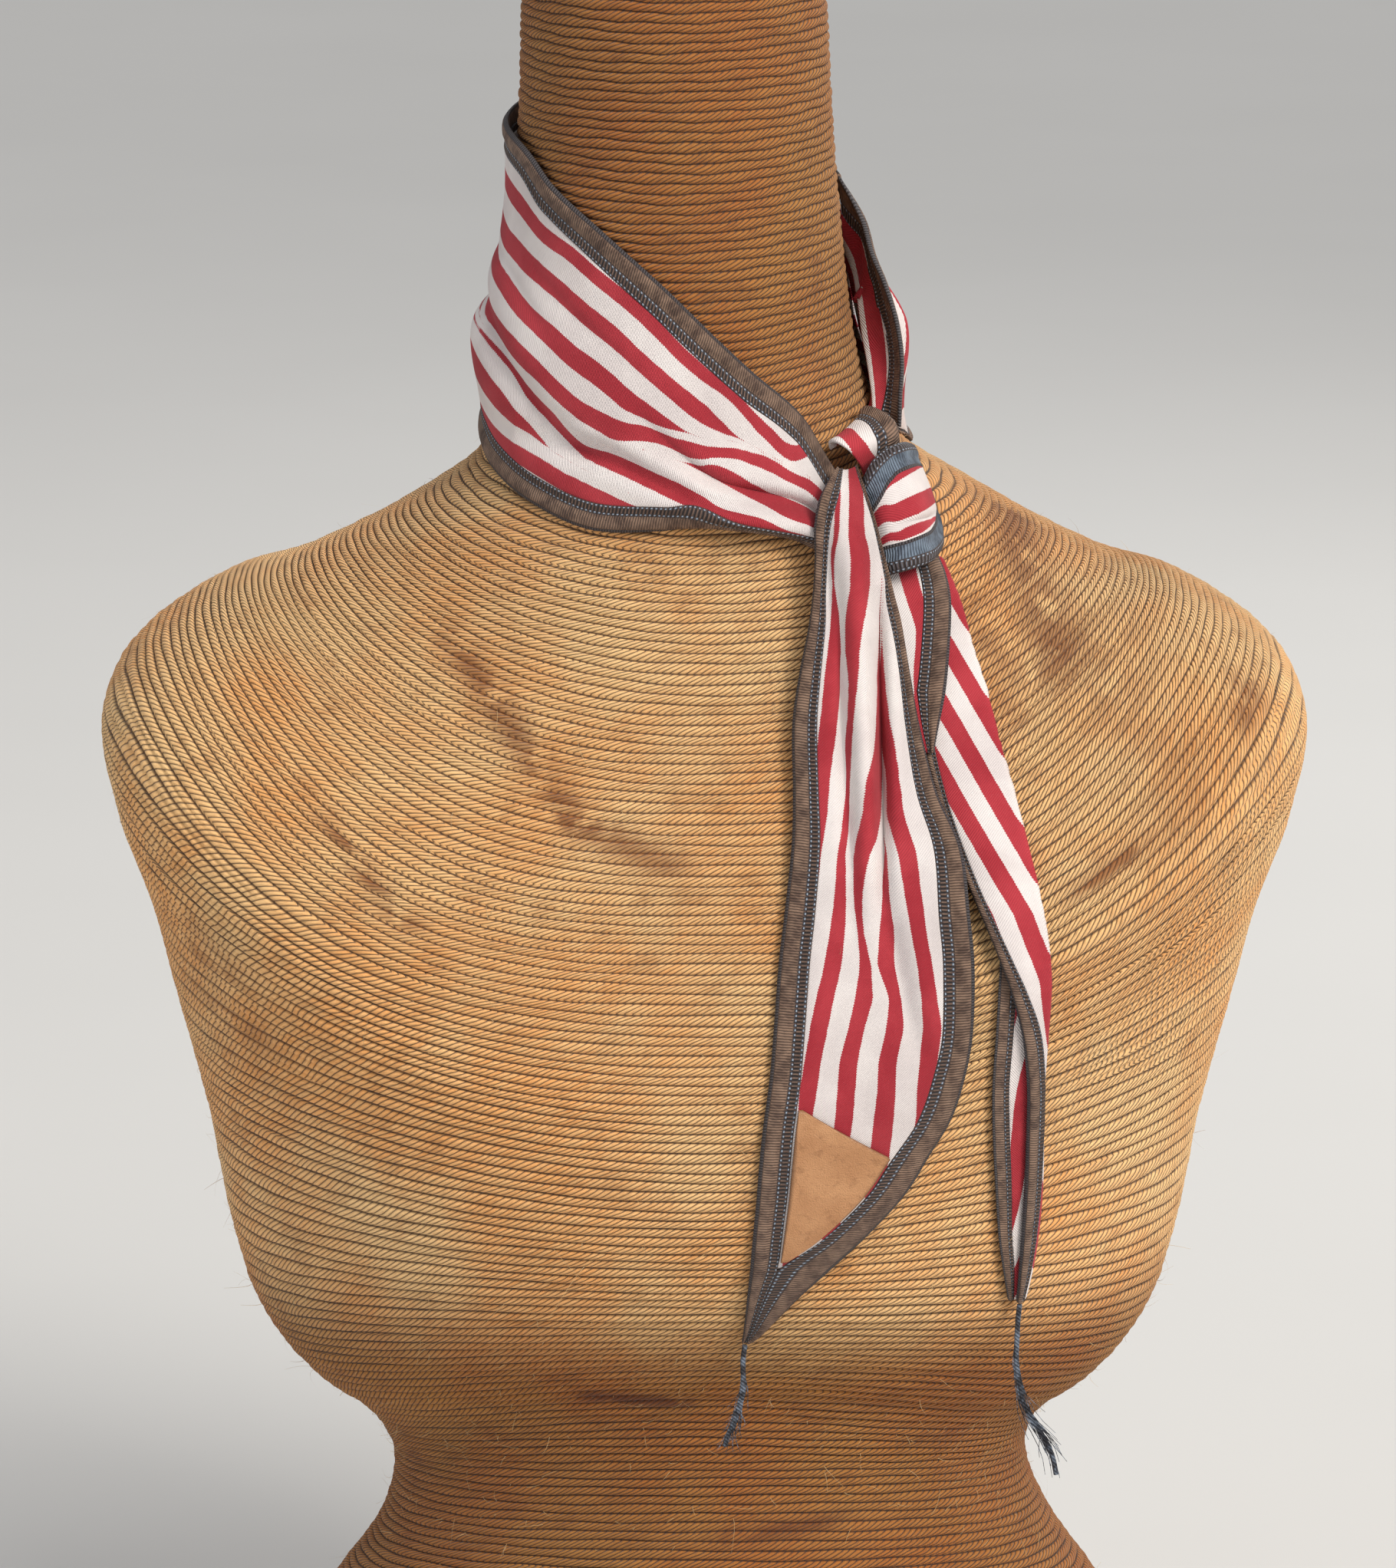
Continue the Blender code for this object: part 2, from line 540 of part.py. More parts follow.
def build_strand():
    fine = np.linspace(0, 1, 97)
    place = np.linspace(0.17, len(STRAND) - 1.2, 18)
    strand = strand_surface(place, fine)
    bordered_stretch("right_strand", strand, 17)


def build_knot():
    fine = np.linspace(0, 1, 49)
    place = np.linspace(0, len(LOOP_OVER) - 1, 12)
    loop = knot_surface(LOOP_OVER, place, fine)
    bordered_stretch("knot_loop", loop, 7, (None, "right"))
    place = np.linspace(0, len(WRAP) - 1, 13)
    wrap = knot_surface(WRAP, place, fine, WRAP_CREASE)
    bordered_stretch("knot_wrap", wrap, 9, ("top", "bottom"))


def build_front_tail():
    """The front tail, with borders that meet in a point under its label."""
    fine = np.linspace(0, 1, 97)
    above = np.linspace(0, MEETING_ROW, 34)
    points = front_surface(FRONT_TAIL, above, fine, FRONT_TAIL_FOLDS.values())
    lengths = arc_lengths(points)[:, -1]
    left, right = smooth_rows(columns(FRONT_TAIL), above).T[3:5]
    room = SEAM_GAP / 2
    inner = slice_rows(points, left + room, lengths - right - room, 16)
    cloth_piece("front_tail", inner, CLOTH_WALL, cloth_finish)

    below = np.linspace(MEETING_ROW, len(FRONT_TAIL) - 1, 8)[1:]
    tip = front_surface(FRONT_TAIL, below, fine, ())
    tip_lengths = arc_lengths(tip)[:, -1]
    share = left[-1] / (left[-1] + right[-1])
    whole = np.concatenate([points, tip])
    all_lengths = np.concatenate([lengths, tip_lengths])
    left_end = np.concatenate([left, tip_lengths * share]) - room
    right_start = np.concatenate([lengths - right, tip_lengths * share]) + room
    strip = slice_rows(whole, 0 * left_end, left_end, 3)
    cloth_piece("front_tail_left_border", strip, BORDER_WALL, border_finish)
    strip = slice_rows(whole, right_start, all_lengths, 3)
    cloth_piece("front_tail_right_border", strip, BORDER_WALL, border_finish)


def build_label():
    """The label: a triangle on the tail's cloth, just clear of it."""
    top, corner = LABEL_TOP_LEFT[1] * MM, LABEL_TOP_RIGHT[1] * MM
    heights = np.linspace(top, corner, 5)
    heights = np.append(heights, np.linspace(corner, LABEL_POINT_HEIGHT * MM, 6)[1:])
    every = np.linspace(0, len(FRONT_TAIL) - 1, 400)
    every_height = smooth_rows(columns(FRONT_TAIL), every)[:, 0]
    place = np.interp(-heights, -every_height, every)
    points = front_surface(FRONT_TAIL, place, np.linspace(0, 1, 97))
    points = points - [0, CLOTH_WALL + SEAM_GAP, 0]
    lengths = arc_lengths(points)[:, -1]
    left, right = smooth_rows(columns(FRONT_TAIL), place).T[3:5]
    start = left + 0.6 * MM
    slope = (LABEL_TOP_RIGHT[0] - LABEL_TOP_LEFT[0]) * MM / (top - corner)
    cut = start + 1.2 * MM + slope * (top - heights)
    end = np.maximum(np.minimum(lengths - right - 0.6 * MM, cut), start + 1.2 * MM)
    cloth_piece("label", slice_rows(points, start, end, 7), LABEL_WALL, leather_finish)


def build_rear_tail():
    fine = np.linspace(0, 1, 97)
    room = SEAM_GAP / 2
    place = np.linspace(0, len(REAR_TURN) - 1, 12)
    turned = front_surface(REAR_TURN, place, fine)
    lengths = arc_lengths(turned)[:, -1]
    border = np.minimum(BORDER_WIDTH, lengths * 0.72)
    inner = slice_rows(turned, 0 * border, lengths - border - room, 5)
    cloth_piece("rear_turnover", inner, CLOTH_WALL, cloth_finish)
    strip = slice_rows(turned, lengths - border + room, lengths, 4)
    cloth_piece("rear_turnover_border", strip, BORDER_WALL, border_finish)

    place = np.linspace(0, len(REAR_TAIL) - 1, 31)
    rear = rear_surface(place, fine)
    lengths = arc_lengths(rear)[:, -1]
    front, behind = smooth_rows(columns(REAR_TAIL), place).T[4:6]
    inner = slice_rows(rear, front + room, lengths - behind - room, 13)
    cloth_piece("rear_tail", inner, CLOTH_WALL, cloth_finish)
    strip = slice_rows(rear, 0 * front, front - room, 3)
    cloth_piece("rear_tail_front_border", strip, BORDER_WALL, border_finish)
    strip = slice_rows(rear, lengths - behind + room, lengths, 3)
    cloth_piece("rear_tail_back_border", strip, BORDER_WALL, border_finish)


def build_thread(name, route):
    """A sewing thread's tail, as a thin tube on a smooth route."""
    rows = np.array(route) * MM
    points = smooth_rows(rows, np.linspace(0, len(rows) - 1, 2 * len(rows)))
    points = points + TO_MIDDLE
    curve = bpy.data.curves.new(name, "CURVE")
    curve.dimensions = "3D"
    curve.bevel_depth = THREAD_DIAMETER / 2
    curve.bevel_resolution = 2
    curve.use_fill_caps = True
    spline = curve.splines.new("POLY")
    spline.points.add(len(points) - 1)
    for target, point in zip(spline.points, points):
        target.co = (*point, 1)
    curve.materials.append(material(name, THREAD_COLOUR, 0.8))
    parts.objects.link(bpy.data.objects.new(name, curve))


for leftover in list(bpy.data.objects):
    bpy.data.objects.remove(leftover)
parts = bpy.data.collections.new("neck_scarf_on_dress_form")
bpy.context.scene.collection.children.link(parts)
cloth_finish = material("striped_cotton", CLOTH_COLOUR, 0.8)
border_finish = material("stitched_border", BORDER_COLOUR, 0.75)
leather_finish = material("leather", LEATHER_COLOUR, 0.55)
build_form()
build_band()
build_strand()
build_knot()
build_front_tail()
build_label()
build_rear_tail()
build_thread("front_thread", FRONT_THREAD)
build_thread("rear_thread", REAR_THREAD)
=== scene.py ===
"""Looks of the neck scarf on its dress form: twine, striped cotton, stitched
borders, leather label and sewing threads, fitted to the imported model. Metres,
+Z up, the front faces -Y.
"""

import bpy
import numpy as np
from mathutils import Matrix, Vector


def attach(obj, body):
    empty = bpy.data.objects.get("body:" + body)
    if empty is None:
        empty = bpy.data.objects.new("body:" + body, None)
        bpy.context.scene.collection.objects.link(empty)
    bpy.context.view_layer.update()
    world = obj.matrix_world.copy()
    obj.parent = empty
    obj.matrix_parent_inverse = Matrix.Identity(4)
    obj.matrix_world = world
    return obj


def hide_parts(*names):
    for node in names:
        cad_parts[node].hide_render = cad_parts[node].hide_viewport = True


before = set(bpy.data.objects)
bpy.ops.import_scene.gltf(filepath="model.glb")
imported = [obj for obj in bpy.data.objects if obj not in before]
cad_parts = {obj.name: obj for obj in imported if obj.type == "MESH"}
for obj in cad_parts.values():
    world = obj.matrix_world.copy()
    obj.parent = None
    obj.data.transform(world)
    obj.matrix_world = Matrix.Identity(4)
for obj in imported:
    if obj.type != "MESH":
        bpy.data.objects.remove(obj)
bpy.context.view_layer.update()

# The camera stands a little above the scarf and looks down at the front of it,
# through a long lens, so that the collar and the chest both show.
TARGET = Vector((-0.002, 0.01184, 0.36))
CAMERA_DISTANCE = 2.3
CAMERA_RISE = np.radians(14.5)
CAMERA_LENS = 164.4
camera = bpy.data.objects.new("camera", bpy.data.cameras.new("camera"))
bpy.context.scene.collection.objects.link(camera)
towards = Vector((0, -np.cos(CAMERA_RISE), np.sin(CAMERA_RISE)))
camera.location = TARGET + CAMERA_DISTANCE * towards
camera.rotation_euler = (TARGET - camera.location).to_track_quat("-Z", "Y").to_euler()
camera.data.sensor_fit = "AUTO"
camera.data.lens = CAMERA_LENS
bpy.context.scene.camera = camera

# Two sewing threads were left long where the borders meet in the two points.
# Each is a few strands of dark cotton that hang down the chest from its point.
MM = 0.001
# The tables are measured from the neck's middle plane. The middle of the whole
# part's outline lies this far in front of it.
TO_MIDDLE = np.array([0, 11.84, 0]) * MM
THREAD_DIAMETER = 2.2 * MM
# The strands are drawn thinner than the diameter that the cord is given.
THREAD_PACKING = 0.76
# Each thread is frayed: how many loose strands, points along one, reach, width.
LOOSE_STRANDS = 34
LOOSE_POINTS = 9
LOOSE_REACH = 2.2 * MM
LOOSE_WIDTH = 0.42 * MM
THREAD_DARK = (0.040, 0.040, 0.050, 1)
THREAD_BLUE = (0.20, 0.24, 0.31, 1)
FRONT_THREAD = (
    (12.7, -100.9, 204.7), (12.1, -101.2, 199.6), (12.2, -101.4, 194.5),
    (12.3, -101.4, 190.0), (11.4, -101.2, 186.0), (10.2, -101.0, 182.0),
    (8.8, -100.8, 178.2), (7.4, -100.7, 174.6), (6.4, -100.6, 171.2),
)
REAR_THREAD = (
    (99.2, -86.5, 213.3), (98.7, -87.0, 208.0), (98.5, -87.2, 202.4),
    (98.3, -87.5, 196.6), (98.7, -87.2, 191.6), (99.6, -86.7, 186.2),
    (100.8, -86.2, 180.6), (103.0, -86.0, 175.6), (106.0, -86.0, 171.0),
    (108.6, -86.0, 166.4), (110.4, -86.2, 161.6), (111.4, -86.4, 156.6),
)


def smooth_rows(rows, place):
    """Each column at a place down the rows: a Catmull-Rom curve through them."""
    rows = np.asarray(rows, float)
    last = len(rows) - 1
    place = np.clip(np.asarray(place, float), 0, last)
    first = np.minimum(place.astype(int), last - 1)
    part = (place - first)[..., None]
    before, start = rows[np.maximum(first - 1, 0)], rows[first]
    end, after = rows[first + 1], rows[np.minimum(first + 2, last)]
    curve = 2 * before - 5 * start + 4 * end - after
    curve = curve + part * (3 * (start - end) + after - before)
    return start + 0.5 * part * (end - before + part * curve)


def node(tree, kind, sockets=None, **settings):
    """A shader node, with its settings made and its sockets set or joined."""
    made = tree.nodes.new("ShaderNode" + kind)
    for name, value in settings.items():
        setattr(made, name, value)
    for name, value in (sockets or {}).items():
        if isinstance(value, bpy.types.NodeSocket):
            tree.links.new(value, made.inputs[name])
        else:
            made.inputs[name].default_value = value
    return made


def sum_of(tree, operation, first, second=0.0, third=0.0):
    """One number worked out from up to three."""
    made = node(tree, "Math", {0: first, 1: second, 2: third}, operation=operation)
    return made.outputs[0]


def mixed(tree, share, first, second, blend="MIX"):
    """One colour over another, by a share."""
    sockets = {"Factor": share, 6: first, 7: second}
    made = node(tree, "Mix", sockets, data_type="RGBA", blend_type=blend)
    return made.outputs[2]


def steps_between(tree, value, start, end, low=0.0, high=1.0):
    """A smooth rise from low to high while value goes from start to end."""
    sockets = {0: value, 1: start, 2: end, 3: low, 4: high}
    made = node(tree, "MapRange", sockets, interpolation_type="SMOOTHSTEP")
    return made.outputs[0]


def noise(tree, vector, scale, detail=3.0, roughness=0.55):
    """Soft random patches, 0 to 1, from a point."""
    sockets = {"Vector": vector, "Scale": scale, "Detail": detail, "Roughness": roughness}
    return node(tree, "TexNoise", sockets).outputs[0]


def uv_parts(tree, name):
    """The two numbers of a piece's own UV map."""
    place = node(tree, "UVMap", uv_map=name).outputs[0]
    parted = node(tree, "SeparateXYZ", {0: place})
    return parted.outputs[0], parted.outputs[1]


def vector_of(tree, x, y=0.0, z=0.0):
    """Up to three numbers as one point."""
    return node(tree, "CombineXYZ", {0: x, 1: y, 2: z}).outputs[0]


def new_finish(name, roughness, **settings):
    """A material, its node tree and its shader, with constants on the shader."""
    made = bpy.data.materials.new(name)
    made.use_nodes = True
    shader = made.node_tree.nodes["Principled BSDF"]
    shader.inputs["Roughness"].default_value = roughness
    for socket, value in settings.items():
        shader.inputs[socket.replace("_", " ")].default_value = value
    return made, made.node_tree, shader


def join_colour(tree, shader, colour, height=None, distance=0.0005, strength=1.0):
    """Puts a colour and a bump on a shader."""
    tree.links.new(colour, shader.inputs["Base Color"])
    if height is not None:
        sockets = {"Height": height, "Distance": distance, "Strength": strength}
        bump = node(tree, "Bump", sockets)
        tree.links.new(bump.outputs[0], shader.inputs["Normal"])


def thread_finish():
    """Dark cotton of twisted strands, blue-grey where it is frayed, with painted shade between
    the strands.
    """
    made, tree, shader = new_finish("sewing_thread", 0.8)
    place = node(tree, "TexCoord").outputs["Object"]
    parts = node(tree, "SeparateXYZ", {0: place})
    twist = sum_of(tree, "MULTIPLY_ADD", parts.outputs[2], 5200.0, 0.0)
    twist = sum_of(tree, "MULTIPLY_ADD", parts.outputs[0], 4200.0, twist)
    ply = sum_of(tree, "MULTIPLY_ADD", sum_of(tree, "SINE", twist), 0.5, 0.5)
    patches = noise(tree, place, 300.0)
    share = steps_between(tree, patches, 0.42, 0.62)
    colour = mixed(tree, share, THREAD_DARK, THREAD_BLUE)
    # Painted shade: the colour is darkened by half in the hollows between the twisted strands.
    colour = mixed(tree, ply, mixed(tree, 0.5, colour, (0, 0, 0, 1)), colour)
    join_colour(tree, shader, colour, ply, 0.0004)
    return made


def ribbons(lines, sides, width):
    """Strips a hair wide along many lines of points: vertices and faces.

    lines has one row of points for each strip, and sides one unit vector
    across each. A strip narrows to a third at its end.
    """
    count, points, _ = lines.shape
    taper = np.linspace(1, 0.35, points)[None, :, None] * width / 2
    both = np.stack([lines - sides[:, None] * taper, lines + sides[:, None] * taper], 2)
    step = np.arange(points - 1)[None, :] * 2
    first = (np.arange(count)[:, None] * points * 2 + step).ravel()
    return both.reshape(-1, 3), np.stack([first, first + 2, first + 3, first + 1], 1)


def place_piece(name, data, slot, *stands_for):
    """An object for a mesh or curve at the origin, riding on the root."""
    made = bpy.data.objects.new(name, data)
    bpy.context.scene.collection.objects.link(made)
    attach(made, "root")
    if stands_for:
        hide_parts(*stands_for)
    return made


def new_piece(name, points, faces, maps, finish, slot, *stands_for):
    """A mesh from points and faces, with its UV maps, as a piece in its place."""
    mesh = bpy.data.meshes.new(name)
    mesh.from_pydata(points.tolist(), [], faces.tolist())
    corners = np.zeros(len(mesh.loops), np.int32)
    mesh.loops.foreach_get("vertex_index", corners)
    for map_name, pairs in maps.items():
        layer = mesh.uv_layers.new(name=map_name)
        layer.data.foreach_set("uv", pairs[corners].astype(np.float32).ravel())
    mesh.materials.append(finish)
    mesh.shade_smooth()
    return place_piece(name, mesh, slot, *stands_for)


def fray(name, points, finish):
    """Loose strands that leave a thread along its length and spread below it.

    A strand follows the thread from a random start. It drifts off it as the
    power 1.5 of its own length, with a slow wave on top, always to the front.
    """
    draw = np.random.default_rng(len(points))
    rise = np.linspace(0, 1, LOOSE_POINTS)
    lines = []
    for start in draw.uniform(0.05, 0.75, LOOSE_STRANDS):
        part = start + (1 - start) * rise * draw.uniform(0.5, 1)
        place = part * (len(points) - 1)
        line = [np.interp(place, np.arange(len(points)), axis) for axis in points.T]
        drift = draw.normal(0, 1, 3) * [1, 0.35, 0.5]
        curl = draw.normal(0, 0.5, 3) * [1, 0.3, 0.6]
        wave = np.sin(rise * draw.uniform(2, 6))[:, None] * curl
        offset = drift * rise[:, None] ** 1.5 + wave
        offset[:, 1] = -np.abs(offset[:, 1]) - 0.4
        spread_out = LOOSE_REACH * (0.3 + 0.7 * rise[:, None])
        lines.append(np.stack(line, 1) + offset * spread_out)
    sides = np.tile([0.96, 0, 0.28], (LOOSE_STRANDS, 1))
    vertices, faces = ribbons(np.array(lines), sides, LOOSE_WIDTH)
    return new_piece(name, vertices, faces, {}, finish, "thread")


def hang_thread(name, route, finish):
    """A thread along its route, as one open spline with a round section."""
    rows = np.array(route) * MM
    points = smooth_rows(rows, np.linspace(0, len(rows) - 1, 4 * len(rows))) + TO_MIDDLE
    curve = bpy.data.curves.new(name, "CURVE")
    curve.dimensions = "3D"
    curve.bevel_depth = THREAD_DIAMETER * THREAD_PACKING / 2
    curve.bevel_resolution = 3
    curve.use_fill_caps = True
    spline = curve.splines.new("POLY")
    spline.points.add(len(points) - 1)
    spline.points.foreach_set("co", np.c_[points, np.ones(len(points))].ravel())
    curve.materials.append(finish)
    made = place_piece(name + "_strands", curve, "thread", name)
    fray(name + "_frayed", points, finish)


cotton_thread = thread_finish()
hang_thread("front_thread", FRONT_THREAD, cotton_thread)
hang_thread("rear_thread", REAR_THREAD, cotton_thread)

# The dress form is wound all over with jute twine, one turn close below another,
# each turn a loop round the body. It has no limbs, a domed neck and a flat foot.
# Here each turn is a round ridge on the solid's own loops, made in three parts.
TURN_PITCH = 3.1 * MM
TURN_RISE = 1.25 * MM
ROWS_PER_TURN = 8
COLUMNS_ROUND = 104
SPLIT_SPACING = 4.7 * MM
CAP_RISE = 8 * MM
# Rings of the neck's dome, as shares of the topmost loop.
DOME_SHARES = (0.02, 0.2, 0.38, 0.55, 0.7, 0.84, 0.95)
# Where each part of the winding starts and ends, as a share of all its rows.
TWINE_PARTS = {"neck": (0, 0.27), "chest": (0.27, 0.62), "skirt": (0.62, 1)}
PLY_PITCH = 2.4 * MM
TWINE_TAN = (0.94, 0.43, 0.130, 1)
TWINE_PALE = (1.0, 0.635, 0.285, 1)
TWINE_BROWN = (0.50, 0.20, 0.048, 1)
# Painted shade in the hollows between the plies.
PAINTED_PLY_SHADE = (0.150, 0.060, 0.016, 1)
# Painted shade in the grooves between turns.
PAINTED_GROOVE_SHADE = (0.085, 0.032, 0.009, 1)
STAINED = (0.27, 0.080, 0.012, 1)
# The neck and the form below the bust look darker than the chest. Whether that
# is the twine or shade isn't known, and here it is put in the colour, by height.
DARKER = (0.46, 0.31, 0.135, 1)
# The form is lofted through loops that follow its twine, from the neck down.
# Columns, in mm: half width and height at the side, depth and height at the
# front, depth and height at the back, middle's shift to the right, roundness
# (1 an ellipse, less is squarer).
LOOPS = {
    "neck_top": (47, 650, -46, 650, 47, 650, -11, 1.00),
    "neck_upper": (48, 613, -47, 613, 49, 613, -9.5, 1.00),
    "neck_middle": (50.5, 560, -48, 558, 53, 562, -8.8, 1.00),
    "neck_lower": (56, 500, -53, 494, 59, 503, -7, 1.00),
    "neck_root": (67, 472, -60, 461, 66, 480, -3, 0.98),
    "neck_flare": (90, 455, -67, 437, 72, 460, 0, 0.92),
    "shoulder_inner": (127, 436, -82, 388, 80, 424, 0, 0.82),
    "shoulder_outer": (153, 427, -96, 352, 87, 392, 0, 0.66),
    "shoulder_tip": (180, 409, -107, 321, 93, 364, 0, 0.66),
    "arm_top": (192, 388, -110, 310, 95, 352, 0, 0.72),
    "arm_upper": (188, 358, -113, 297, 96, 338, 0, 0.80),
    "arm_middle": (178, 327, -116, 283, 95, 318, 0, 0.88),
    "arm_lower": (170, 292, -117, 268, 92, 290, 0, 0.96),
    "bust": (161, 255, -115, 246, 86, 254, 0, 0.98),
    "bust_lower": (155, 221, -109, 226, 78, 221, 0, 0.96),
    "under_bust": (146, 190, -100, 208, 71, 190, 0, 0.96),
    "under_fold": (130, 167, -88, 190, 66, 168, 0, 0.98),
    "crease": (110, 151, -77, 172, 62, 153, 0, 1.00),
    "waist": (104, 134, -70, 146, 60, 135, 2, 1.00),
    "hip_upper": (111, 112, -71, 121, 62, 113, 4, 1.00),
    "hip": (126, 90, -76, 96, 69, 91, 4, 1.00),
    "hip_lower": (144, 58, -86, 61, 80, 58, 3, 1.00),
    "hem_upper": (155, 27, -94, 28, 89, 27, 2, 1.00),
    "foot": (159, 0, -97, 0, 93, 0, 2, 1.00),
}
# Where the twine is stained or worn. Columns, in mm: x and height of one end, x
# and height of the other, reach, and how dark (0 to 1).
STAINS = {
    "left_streak": (-77, 421, -41, 372, 5, 0.8),
    "left_streak_low": (-41, 372, -8, 356, 5, 0.7),
    "left_line": (-123, 379, -93, 341, 2.4, 1.0),
    "shoulder_spots": (168, 404, 171, 398, 5, 0.9),
    "shoulder_patch": (122, 415, 150, 372, 14, 0.35),
    "right_patch": (96, 452, 110, 414, 8, 0.75),
    "right_patch_low": (84, 430, 98, 398, 5, 0.5),
    "right_dash": (118, 352, 134, 362, 3, 0.9),
    "arm_patch": (-158, 322, -142, 296, 12, 0.5),
    "low_dash": (-38, 180, -8, 178, 3, 0.9),
    "low_dash_right": (72, 158, 79, 158, 3, 0.8),
    "hip_dash": (2, 128, 44, 134, 3, 0.6),
    "hem_dash": (22, 92, 58, 90, 3.5, 0.6),
    "nick": (-42, 470, -40, 462, 3, 0.8),
}


def columns(table, scales=MM):
    """A table's numbers as an array, lengths turned into metres."""
    return np.array(list(table.values()), float) * scales


LOOP_ROWS = columns(LOOPS, [MM] * 7 + [1])


def loop_point(place, turn):
    """The form's surface: a loop down the rows, an angle round from the front."""
    half, side_z, front_y, front_z, back_y, back_z, middle, power = np.moveaxis(
        smooth_rows(LOOP_ROWS, place), -1, 0
    )
    sine, cosine = np.sin(turn), np.cos(turn)
    x = middle + half * np.sign(sine) * np.abs(sine) ** power
    y = np.where(cosine > 0, front_y, back_y) * np.abs(cosine) ** power
    end_z = np.where(cosine > 0, front_z, back_z)
    return np.stack([x, y, end_z + (side_z - end_z) * sine**2], -1)


def grid_faces(rows, across, closed=False):
    """Quads of a grid that face out where rows run down and columns right."""
    steps = np.arange(across if closed else across - 1)
    left = np.arange(rows - 1)[:, None] * across + steps[None, :]
    right = np.arange(rows - 1)[:, None] * across + ((steps + 1) % across)[None, :]
    left, right = left.ravel(), right.ravel()
    return np.stack([left, left + across, right + across, right], 1)


def outward_of(points, closed=False):
    """Unit normals: the slope down the rows crossed with that along them."""
    down = np.gradient(points, axis=0)
    if closed:
        right = np.roll(points, -1, 1) - np.roll(points, 1, 1)
    else:
        right = np.gradient(points, axis=1)
    normal = np.cross(down, right)
    length = np.linalg.norm(normal, axis=-1, keepdims=True)
    return normal / np.maximum(length, 1e-12)


def front_turns():
    """Place down the loops and turn number, at even steps of a turn.

    Turns are counted by the arc length down the middle of the front.
    """
    fine = np.linspace(0, len(LOOPS) - 1, 4000)
    line = loop_point(fine, np.zeros(len(fine)))
    arc = np.concatenate([[0], np.cumsum(np.linalg.norm(np.diff(line, axis=0), axis=1))])
    turns = int(arc[-1] / TURN_PITCH)
    number = np.linspace(0, turns, turns * ROWS_PER_TURN + 1)
    return np.interp(number / turns * arc[-1], arc, fine), number


def stain_at(points):
    """How stained each point of the front is: a bell round each stain's line."""
    total = np.zeros(points.shape[:-1])
    for x1, z1, x2, z2, reach, dark in STAINS.values():
        start, end = np.array([x1, z1]) * MM, np.array([x2, z2]) * MM
        run = end - start
        off = points[..., [0, 2]] - start
        share = np.clip(off @ run / (run @ run), 0, 1)
        distance = np.linalg.norm(off - share[..., None] * run, axis=-1)
        total += dark * np.exp(-((distance / (reach * MM)) ** 2))
    return np.where(points[..., 1] < 0, total, 0)


